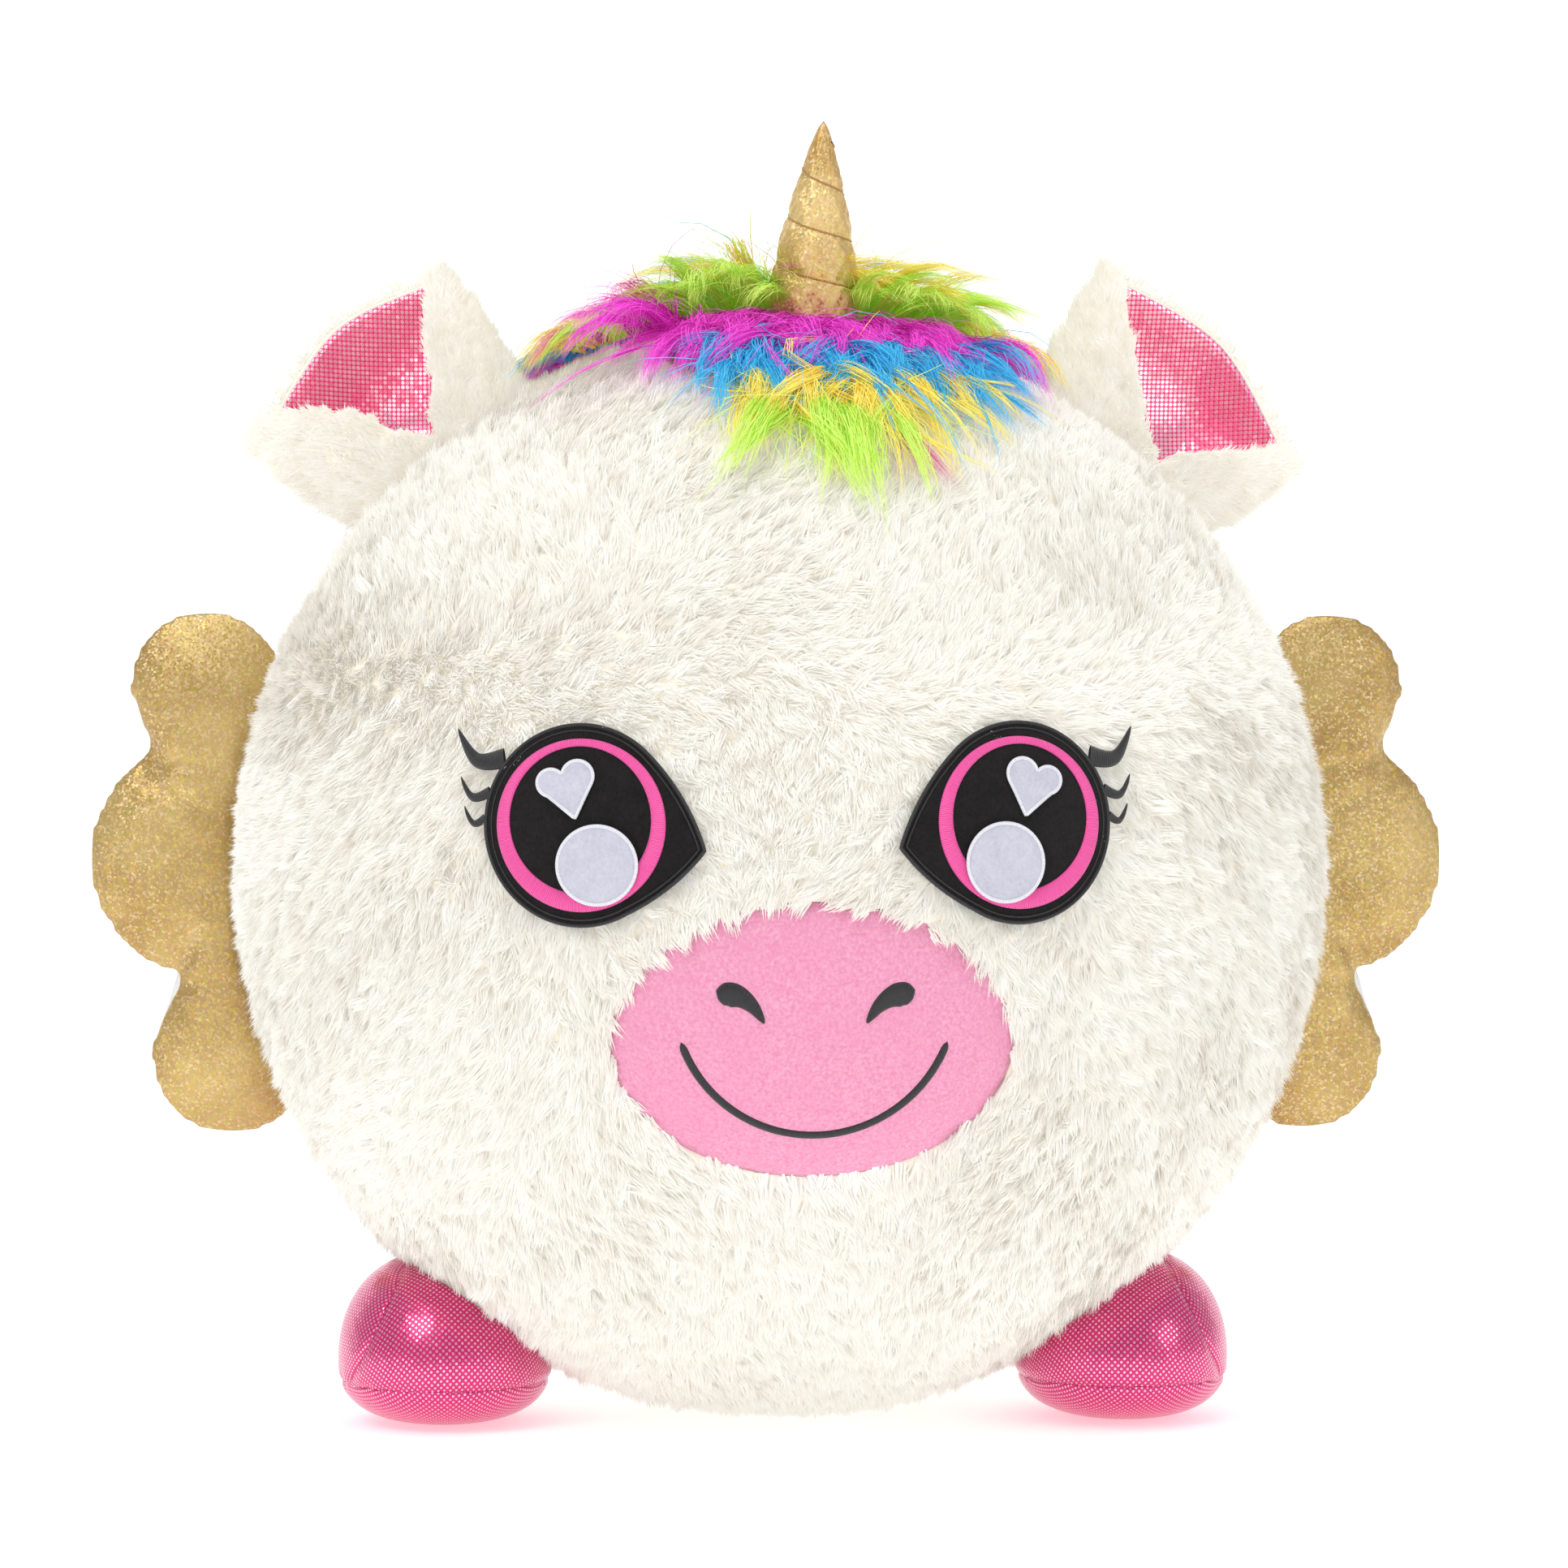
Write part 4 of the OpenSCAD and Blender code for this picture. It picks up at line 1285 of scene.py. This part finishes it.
def notch_creases(bm, middle_y):
    """Shallow folds that run inwards from the two notches, as the stitching pulls there."""
    for v in bm.verts:
        for x, z, dx, dz in ((0.3530, 0.0600, -0.94, -0.10), (0.3440, -0.0690, -0.95, 0.16),
                             (0.3480, -0.0600, -0.80, 0.55), (0.3540, 0.0520, -0.85, -0.50)):
            px, pz = v.co.x - x, v.co.z - BALL.z - z
            along = px * dx + pz * dz
            off = abs(px * dz - pz * dx)
            if along > -0.004:
                fade = math.exp(-(off / 0.0035) ** 2) * math.exp(-max(along, 0) / 0.022)
                v.co.y += (middle_y - v.co.y) * 0.42 * fade
    return bm


def mirrored_copy(piece, name):
    bm = bmesh.new()
    bm.from_mesh(piece.data)
    bmesh.ops.scale(bm, vec=(-1, 1, 1), verts=bm.verts[:])
    bmesh.ops.reverse_faces(bm, faces=bm.faces[:])
    return mesh_piece(name, bm, *piece.data.materials)


def smoothed(piece, rounds=1):
    sub = piece.modifiers.new("smooth", "SUBSURF")
    sub.levels = sub.render_levels = rounds
    return settled_mesh(piece)


right_wing = mesh_piece("right_wing_gold_cover", wing_pillow(-0.0045, 0.0100), wing_fabric)
inflate(right_wing, 0.0042, 0.0050, 3.0)
bm = bmesh.new()
bm.from_mesh(right_wing.data)
notch_creases(bm, SEAM_Y)
bm.to_mesh(right_wing.data)
bm.free()
smoothed(right_wing)
right_wing.data.shade_smooth()
if not right_wing.data.materials:
    right_wing.data.materials.append(wing_fabric)
left_wing = mirrored_copy(right_wing, "left_wing_gold_cover")
right_batting = mesh_piece("right_wing_fill", wing_pillow(0.0210, 0.0045), polyester)
left_batting = mirrored_copy(right_batting, "left_wing_fill")
for side, wing, batting in (("right", right_wing, right_batting), ("left", left_wing, left_batting)):
    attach(wing, f"{side}_wing")
    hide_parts(f"{side}_wing_front", f"{side}_wing_back")
    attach(batting, f"{side}_wing")
    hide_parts(f"{side}_wing_batting")
print("wing", len(right_wing.data.polygons), "faces,", [round(v, 3) for v in right_wing.dimensions])

# %% [markdown]
# ## Foil feet
# A foot is a dome of three foil panels: a large upper, a narrow outer side and a sole. The seams
# between them draw in a little. A sphere is shaped to the dome, flattened where it stands and
# hollowed where it meets the ball, then cut by planes along the seams, so that each panel is
# a piece of its own with its own run of dots.

# %% Feet
FOOT = Vector((0.183, -0.040, 0.036))
FOOT_SIZE = (0.0575, 0.0660, 0.0555)
FOOT_LOW = 0.0355
SOLE_SEAM = 0.0235
SIDE_SEAM = ((0.2215, 0, 0.0500), Vector((0.905, 0, 0.425)).normalized())


def foot_shape(inset):
    bm = bmesh.new()
    bmesh.ops.create_icosphere(bm, subdivisions=6, radius=1)
    for v in bm.verts:
        x, y, z = v.co
        wide, high = 1.0, FOOT_SIZE[2]
        if z < 0:
            flat = max(1 - z * z, 1e-6) ** 0.5
            wide, high = (1 - abs(z) ** 2.7) ** (1 / 2.7) / flat if z > -0.999 else 1.0, FOOT_LOW
        v.co = (FOOT.x + x * wide * (FOOT_SIZE[0] - inset) + 0.007 * max(z, 0) ** 2,
                FOOT.y + y * wide * (FOOT_SIZE[1] - inset), FOOT.z + z * (high - inset))
        v.co.z = max(v.co.z, 0.0008 + inset * 0.5)
        away = v.co - BALL
        if away.length < 0.2965 + inset:
            v.co = BALL + away.normalized() * (0.2965 + inset)
    bmesh.ops.recalc_face_normals(bm, faces=bm.faces[:])
    return bm


def seam_pull(bm):
    """Draws the fabric in along both seams and gathers it slightly beside them."""
    bm.normal_update()
    point, normal = Vector(SIDE_SEAM[0]), SIDE_SEAM[1]
    for v in bm.verts:
        to_side = (v.co - point).dot(normal)
        to_sole = v.co.z - SOLE_SEAM
        angle = math.atan2(v.co.y - FOOT.y, v.co.x - FOOT.x)
        pull = 0.0
        if to_sole > -0.002:
            pull = max(pull, math.exp(-(to_side / 0.0016) ** 2))
        pull = max(pull, math.exp(-(to_sole / 0.0016) ** 2))
        near = math.exp(-(to_sole / 0.006) ** 2) * 0.5 + math.exp(-(to_side / 0.006) ** 2) * 0.5
        gather = 0.00035 * near * math.sin(46 * angle + 9 * math.sin(5 * angle))
        if v.co.z > 0.002:
            v.co -= v.normal * (0.0011 * pull + gather)


ABOVE_SOLE = ((0, 0, SOLE_SEAM), Vector((0, 0, -1)))
foot_panels = {
    "sole": ([((0, 0, SOLE_SEAM), Vector((0, 0, 1)))], Vector((0, -0.5, -0.85))),
    "side": ([ABOVE_SOLE, (SIDE_SEAM[0], -SIDE_SEAM[1])], Vector((1, -0.35, 0.25))),
    "upper": ([ABOVE_SOLE, (SIDE_SEAM[0], SIDE_SEAM[1])], Vector((-0.1, -0.8, 0.6))),
}


def dot_map(bm, facing):
    """Lays the dots on a panel as if it were rolled out round its middle."""
    uv = bm.loops.layers.uv.verify()
    facing = facing.normalized()
    across = facing.cross(Vector((0, 0, 1))).normalized()
    up = across.cross(facing)
    for f in bm.faces:
        for corner in f.loops:
            away = (corner.vert.co - FOOT).normalized()
            angle = facing.angle(away)
            flat = Vector((away.dot(across), away.dot(up)))
            flat = flat.normalized() * angle * 0.064 / DOT if flat.length > 1e-6 else flat
            corner[uv].uv = ((flat.x + flat.y) * 0.7071, (flat.y - flat.x) * 0.7071)


for side in ("right", "left"):
    for part, (cuts, facing) in foot_panels.items():
        bm = foot_shape(0.0)
        seam_pull(bm)
        for point, normal in cuts:
            geom = bm.verts[:] + bm.edges[:] + bm.faces[:]
            bmesh.ops.bisect_plane(bm, geom=geom, dist=1e-6, plane_co=point, plane_no=normal,
                                   clear_outer=True)
        dot_map(bm, facing)
        thicken(bm, -0.0012)
        if side == "left":
            bmesh.ops.scale(bm, vec=(-1, 1, 1), verts=bm.verts[:])
            bmesh.ops.reverse_faces(bm, faces=bm.faces[:])
        panel = mesh_piece(f"{side}_foot_{part}_foil", bm, pink_foil)
        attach(panel, f"{side}_foot")
        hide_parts(f"{side}_foot_{part}")
    bm = foot_shape(0.0042)
    if side == "left":
        bmesh.ops.scale(bm, vec=(-1, 1, 1), verts=bm.verts[:])
        bmesh.ops.reverse_faces(bm, faces=bm.faces[:])
    filling = mesh_piece(f"{side}_foot_fill", bm, polyester)
    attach(filling, f"{side}_foot")
    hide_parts(f"{side}_foot_stuffing")
print("feet stand at", [round(v, 3) for v in FOOT])

# %% [markdown]
# ## Rainbow mane
# The mane is cut from a long-pile fabric dyed in stripes: magenta, blue, yellow and lime, over
# and over. So a lock's colour follows from where its root lies, and its ends fall over the
# stripe below. Each lock has a guide line that rises, turns over and then lies on the fur, and
# a few dozen strands run beside it and gather towards its tip.

# %% Mane colours
# Each colour has a darker root shade and a lighter tip shade: painted shade towards the roots and painted
# light on the ends. Every mane shade also glows a little in its own colour, a painted light.
MANE_CODES = {"magenta": ("DC34C2", "FA58E2"), "blue": ("27A2DA", "50C6F4"),
              "yellow": ("F6D244", "FFF078"), "lime": ("B8EA48", "DCFB78"), "rose": ("C8588C", "E77FB0")}
mane_shades, mane_index = [], {}
for colour, codes in MANE_CODES.items():
    mane_index[colour] = len(mane_shades)
    mane_shades += [pile_finish(f"mane_{colour}_{end}", code, 0.06)
                    for end, code in zip(("root", "tip"), codes)]
mane_backing = felt_finish("mane_backing", "8FB02E", "B4D848")
print(len(mane_shades), "shades of long pile")


def on_crown(x, y, r):
    return Vector((x, y, BALL.z + math.sqrt(max(r * r - x * x - y * y, 0))))


def crown_patch(name, middle, reach):
    """The knitted base of the mane: a disc grid laid on top of the ball, split behind the horn."""
    bm = bmesh.new()
    for v, out, angle in disc_grid(bm, 40):
        x = middle[0] + reach[0] * out * math.cos(angle)
        y = middle[1] + reach[1] * out * math.sin(angle)
        v.co = on_crown(x, y, 0.3015)
    face_outwards(bm, (0, 0, 1))
    thicken(bm, -0.0012)
    return mesh_piece(name, bm, mane_backing)


front_base = crown_patch("front_mane_backing", (0.012, -0.100), (0.082, 0.072))
back_base = crown_patch("back_mane_backing", (0.000, 0.083), (0.092, 0.108))
for base, node in ((front_base, "front_mane_panel"), (back_base, "back_mane_panel")):
    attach(base, "torso")
    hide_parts(node)

# %% [markdown]
# ## Guide lines and strands
# A guide line is walked out from its root in short steps: it turns a little at each one, droops,
# and is kept from sinking into the ball. Its strands follow it, each with a wave of its own.

# %% Guide lines and strands
LEVELS = 7


def guide_lines(roots, combs, length, lift, fall, curl, hold):
    """Lines that rise from the scalp and fall over; `hold` is how near the ball they may come."""
    p, d = roots.copy(), combs.copy()
    line = [p]
    for k in range(LEVELS - 1):
        s = (k + 0.5) / (LEVELS - 1)
        outward = unit(p - np.array(BALL))
        d = turn_about(flat_to(d, outward), outward, curl / LEVELS)
        droop = flat_to(np.tile([0.0, 0.0, -1.0], (len(p), 1)), outward)
        d = unit(d + droop * 0.10)
        rise = lift * (1 - fall * s)
        heading = d * np.cos(rise)[:, None] + outward * np.sin(rise)[:, None]
        p = p + heading * (length / (LEVELS - 1))[:, None]
        away = p - np.array(BALL)
        r = np.linalg.norm(away, axis=1, keepdims=True)
        p = np.array(BALL) + away / r * np.maximum(r, hold[:, None])
        line.append(p)
    return np.stack(line, 1)


def lock_strands(lines, strands, spread, gather, frizz):
    """Strands beside each guide line that come together towards its tip."""
    n = len(lines)
    outward = unit(lines - np.array(BALL))
    along = unit(np.gradient(lines, axis=1))
    side = unit(np.cross(along, outward))
    rep = lambda a: np.repeat(a, strands, 0)
    total = n * strands
    a = rng.uniform(0, 2 * math.pi, total)
    radius = np.sqrt(rng.uniform(0, 1, total)) * rep(spread)
    s = np.linspace(0, 1, LEVELS)[None, :, None]
    closing = 1 - rep(gather)[:, None, None] * s ** 0.8
    off_side = (radius * np.cos(a))[:, None, None] * closing
    off_out = (np.abs(radius * np.sin(a)) * 0.55)[:, None, None] * closing
    each = (total, 1, 1)
    height = rng.normal(0, 1, each)
    waves = rng.uniform(3, 8, each)
    shift = rng.uniform(0, 6, each)
    wave = height * np.sin(waves * s + shift)
    wave_out = np.abs(rng.normal(0, 1, each)) * np.sin(math.pi * s)
    spine = rep(lines) + rep(side) * (off_side + wave * frizz * s)
    spine = spine + rep(outward) * (off_out + wave_out * frizz * 0.6)
    slide = rng.uniform(-0.28, 0.12, each) * s
    span = np.linalg.norm(lines[:, -1] - lines[:, 0], axis=1).repeat(strands)[:, None, None]
    spine = spine + rep(along) * slide * span
    return spine, rep(outward[:, 2])


def strand_piece(name, spine, outward, colour, half, body):
    n = len(spine)
    taper = np.linspace(1, 0, LEVELS) ** 0.6
    widths = half[:, None] * taper[None, :] * rng.uniform(0.75, 1.25, (n, 1))
    faces = np.arange(LEVELS - 1)[None, :]
    # Faces up to a random reach from the root take the darker root shade, a painted shade; the faces beyond
    # it take the lighter tip shade, a painted light.
    shaded_root_reach = rng.uniform(0.5, 3.6, (n, 1))
    shade = colour[:, None] + (faces >= shaded_root_reach)
    return blade_piece(name, spine, widths, rng.normal(0, 0.5, n), outward, shade, mane_shades, body)


print("a strand bends at", LEVELS - 1, "places")

# %% [markdown]
# ## Where the mane grows
# The roots are spread evenly over the crown and kept where the striped fabric lies. A root's
# place gives its colour, the way it is combed, its length and how far it stands up. Round the
# horn the locks stand taller.

# %% Where the mane grows
def stripe(x, y):
    """The colour at a root, from where it lies on the striped fabric; x and y in millimetres."""
    if y < -62:
        polar = math.degrees(math.asin(min(math.hypot(x, y) / 300, 1)))
        return "magenta" if polar < 24.5 else "blue" if polar < 31 else "yellow" if polar < 36.5 else "lime"
    return ("lime", "yellow", "blue", "magenta")[int((y + 62) // 30) % 4]


def grows_here(x, y):
    if y < -62:
        polar = math.degrees(math.asin(min(math.hypot(x, y) / 300, 1)))
        left = np.interp(polar, (0, 20, 27, 33, 40), (-88, -80, -40, -26, -4))
        right = np.interp(polar, (0, 20, 27, 33, 40), (108, 106, 92, 70, 54))
        return polar < 40.5 and left < x < right
    crown = ((x - 2) / 118) ** 2 + ((y - 20) / 98) ** 2 < 1
    lobe = (x / 76) ** 2 + ((y - 120) / 92) ** 2 < 1
    return crown or lobe


def grow_mane():
    spots = evenly_on_sphere(12500) * 0.302
    spots = spots[spots[:, 2] > 0.12]
    keep = []
    for x, y, z in spots / MM:
        from_horn = math.hypot(x - 14.5, y + 55)
        if from_horn > (27 if y < -62 else 20) and grows_here(x, y):
            keep.append((x, y, z))
    return np.array(keep)


roots = grow_mane()
x, y = roots[:, 0], roots[:, 1]
front = y < -62
colours = np.array([stripe(a, b) for a, b in zip(x, y)])
fan = np.where(front[:, None], np.stack([(x - 16) * 1.0, np.minimum(y + 25, -20), 0 * x], 1),
               np.stack([(x - 3) * 1.25, (y - 5) * 0.7, 0 * x], 1))
base = np.array(BALL) + roots * MM
outward = unit(base - np.array(BALL))
comb = flat_to(fan, outward)
near_horn = np.hypot(x - 14, y + 55) < 45
comb = turn_about(comb, outward, rng.normal(0, 0.42, len(base)))
reach = {"magenta": (0.040, 0.068), "blue": (0.042, 0.070),
         "yellow": (0.045, 0.080), "lime": (0.045, 0.085)}
low = np.array([reach[c][0] for c in colours])
high = np.array([reach[c][1] for c in colours])
length = np.where(front, rng.uniform(low, high), rng.uniform(0.040, 0.066, len(base)))
lift = np.where(front, rng.uniform(0.15, 0.70, len(base)), rng.uniform(0.60, 1.25, len(base)))
lift = np.where(front & near_horn, lift * 0.45, lift)
lift = np.where(np.abs(x) > 85, rng.uniform(0.3, 0.9, len(base)), lift)
colours = np.where((colours == "lime") & (rng.uniform(0, 1, len(base)) < 0.07), "rose", colours)
polar = np.degrees(np.arcsin(np.minimum(np.hypot(x, y) / 300, 1)))
hold = 0.3030 + np.clip((30 - polar) * 0.00012, 0, 0.003)
tall = (~front & (np.hypot(x - 14, y + 45) < 62)) | ((x < -60) & (y < -40))
length = np.where(tall, rng.uniform(0.050, 0.082, len(base)), length)
lift = np.where(tall, rng.uniform(0.75, 1.30, len(base)), lift)
fall = np.where(tall, rng.uniform(1.0, 1.7, len(base)), 1.9)
lines = guide_lines(base, comb, length, lift, fall, rng.normal(0, 0.7, len(base)), hold)
print(len(lines), "locks:", {c: int((colours == c).sum()) for c in MANE_CODES})

# %% [markdown]
# ## Locks of striped pile
# Each lock's strands spread round its guide line and gather towards the tip. The pile in front
# of the horn is one piece, and the pile behind it is a left and a right piece.

# %% Locks of striped pile
STRANDS = 52
spread = rng.uniform(0.006, 0.011, len(base))
gather = rng.uniform(0.05, 0.65, len(base))
spine, out = lock_strands(lines, STRANDS, spread, gather, 0.0030)
index = np.repeat([mane_index[c] for c in colours], STRANDS)
in_front = np.repeat(front, STRANDS)
half = np.full(len(spine), 0.00030)
on_left = spine[:, 0, 0] < 0
for name, chosen in (("front_mane_locks", in_front), ("back_mane_locks_left", ~in_front & on_left),
                     ("back_mane_locks_right", ~in_front & ~on_left)):
    locks = strand_piece(name, spine[chosen], out[chosen], index[chosen], half[chosen], "torso")
print(len(spine), "strands in the locks")

# %% [markdown]
# ## Loose strands
# A brushed mane throws fine hairs past its edge. Thin groups of long strands start among the
# outer locks and reach down over the white fur, and single hairs go astray all over the mane.

# %% Loose strands
LOOSE_GROUPS = 60
GROUP_STRANDS = 9
SINGLE_HAIRS = 6000
picked = np.flatnonzero(front & (polar > 20) & (x > -60) & (x < 80))
picked = rng.choice(picked, LOOSE_GROUPS, replace=False)
longer = length[picked] * rng.uniform(1.3, 1.75, LOOSE_GROUPS)
long_lines = guide_lines(base[picked], comb[picked], longer, lift[picked] * 0.8, 1.9,
                         rng.normal(0, 1.8, LOOSE_GROUPS), hold[picked])
spine, out = lock_strands(long_lines, GROUP_STRANDS, np.full(LOOSE_GROUPS, 0.003),
                          np.full(LOOSE_GROUPS, 0.85), 0.0022)
index = np.repeat([mane_index[c] for c in colours[picked]], GROUP_STRANDS)
loose = strand_piece("mane_loose_strands", spine, out, index, np.full(len(spine), 0.00035), "torso")

picked = rng.integers(0, len(base), SINGLE_HAIRS)
aside = rng.normal(0, 0.006, (SINGLE_HAIRS, 1))
start = base[picked] + np.cross(outward[picked], comb[picked]) * aside
astray = turn_about(comb[picked], outward[picked], rng.normal(0, 0.75, SINGLE_HAIRS))
reaching = length[picked] * rng.uniform(0.8, 1.3, SINGLE_HAIRS)
standing = lift[picked] * rng.uniform(0.9, 1.6, SINGLE_HAIRS)
hairs = guide_lines(start, astray, reaching, standing, fall[picked],
                    rng.normal(0, 1.6, SINGLE_HAIRS), hold[picked])
index = np.array([mane_index[c] for c in colours[picked]])
single = strand_piece("mane_single_hairs", hairs, outward[picked], index,
                      np.full(SINGLE_HAIRS, 0.00026), "torso")
print(LOOSE_GROUPS * GROUP_STRANDS, "loose strands and", SINGLE_HAIRS, "single hairs")

# %% [markdown]
# ## Tail
# The tail is a tuft of the same striped pile on a short backing low on the back. Its strands start
# close together, swell out, and come together at the tip as they hang.

# %% Tail
TAIL_ROOT = np.array([0.0, 0.2885, 0.1920])
TAIL_DOWN = np.array([0.0, math.sin(math.radians(35)), -math.cos(math.radians(35))])
TAIL_OUT = np.array([0.0, math.cos(math.radians(35)), math.sin(math.radians(35))])
strands = 3000
a = rng.uniform(0, 2 * math.pi, strands)
root_r = 0.006 * np.sqrt(rng.uniform(0, 1, strands))
swell = 0.020 * np.sqrt(rng.uniform(0.02, 1, strands))
long = 0.150 * rng.uniform(0.45, 1.0, strands) ** 0.5
s = np.linspace(0, 1, LEVELS)[None, :]
radius = root_r[:, None] * (1 - s) + swell[:, None] * (1 - np.exp(-5 * s)) * (1 - 0.5 * s ** 2)
wave = rng.normal(0, 0.0030, (strands, 1)) * np.sin(rng.uniform(3, 8, (strands, 1)) * s)
ring = np.cos(a)[:, None, None] * np.array([1.0, 0, 0]) + np.sin(a)[:, None, None] * TAIL_OUT
spine = TAIL_ROOT + (long[:, None] * s)[:, :, None] * TAIL_DOWN + ring * (radius + wave)[:, :, None]
order = np.array([mane_index[c] for c in ("magenta", "blue", "yellow", "lime")])
index = order[((a / (2 * math.pi) * 8).astype(int) + (rng.uniform(0, 1, strands) < 0.2)) % 4]
tail = strand_piece("tail_locks", spine, ring[:, 0], index, np.full(strands, 0.0007), "tail")

bm = bmesh.new()
bmesh.ops.create_uvsphere(bm, u_segments=32, v_segments=24, radius=1)
for v in bm.verts:
    along = (1 - v.co.z) / 2
    r = 0.0125 * math.sin(math.pi * along ** 0.75) if 0 < along < 1 else 0.0
    flat = Vector((v.co.x, v.co.y))
    flat = flat.normalized() * r if flat.length > 1e-6 else Vector((0, 0))
    v.co = (Vector(TAIL_ROOT) + Vector(TAIL_DOWN) * (0.003 + 0.110 * along) + Vector((1, 0, 0)) * flat.x
            + Vector(TAIL_OUT) * flat.y)
bmesh.ops.recalc_face_normals(bm, faces=bm.faces[:])
tail_core = mesh_piece("tail_backing", bm, mane_backing)
for piece in (tail, tail_core):
    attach(piece, "tail")
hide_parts("tail")
print("tail hangs", round(float(spine[:, :, 2].min()), 3), "m above the floor")

# %% [markdown]
# ## Size and finish
# The box round everything the dressed toy shows is measured and printed.

# %% Finish
low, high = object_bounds()
print("visual box", [round(v, 4) for v in (*low, *high)])
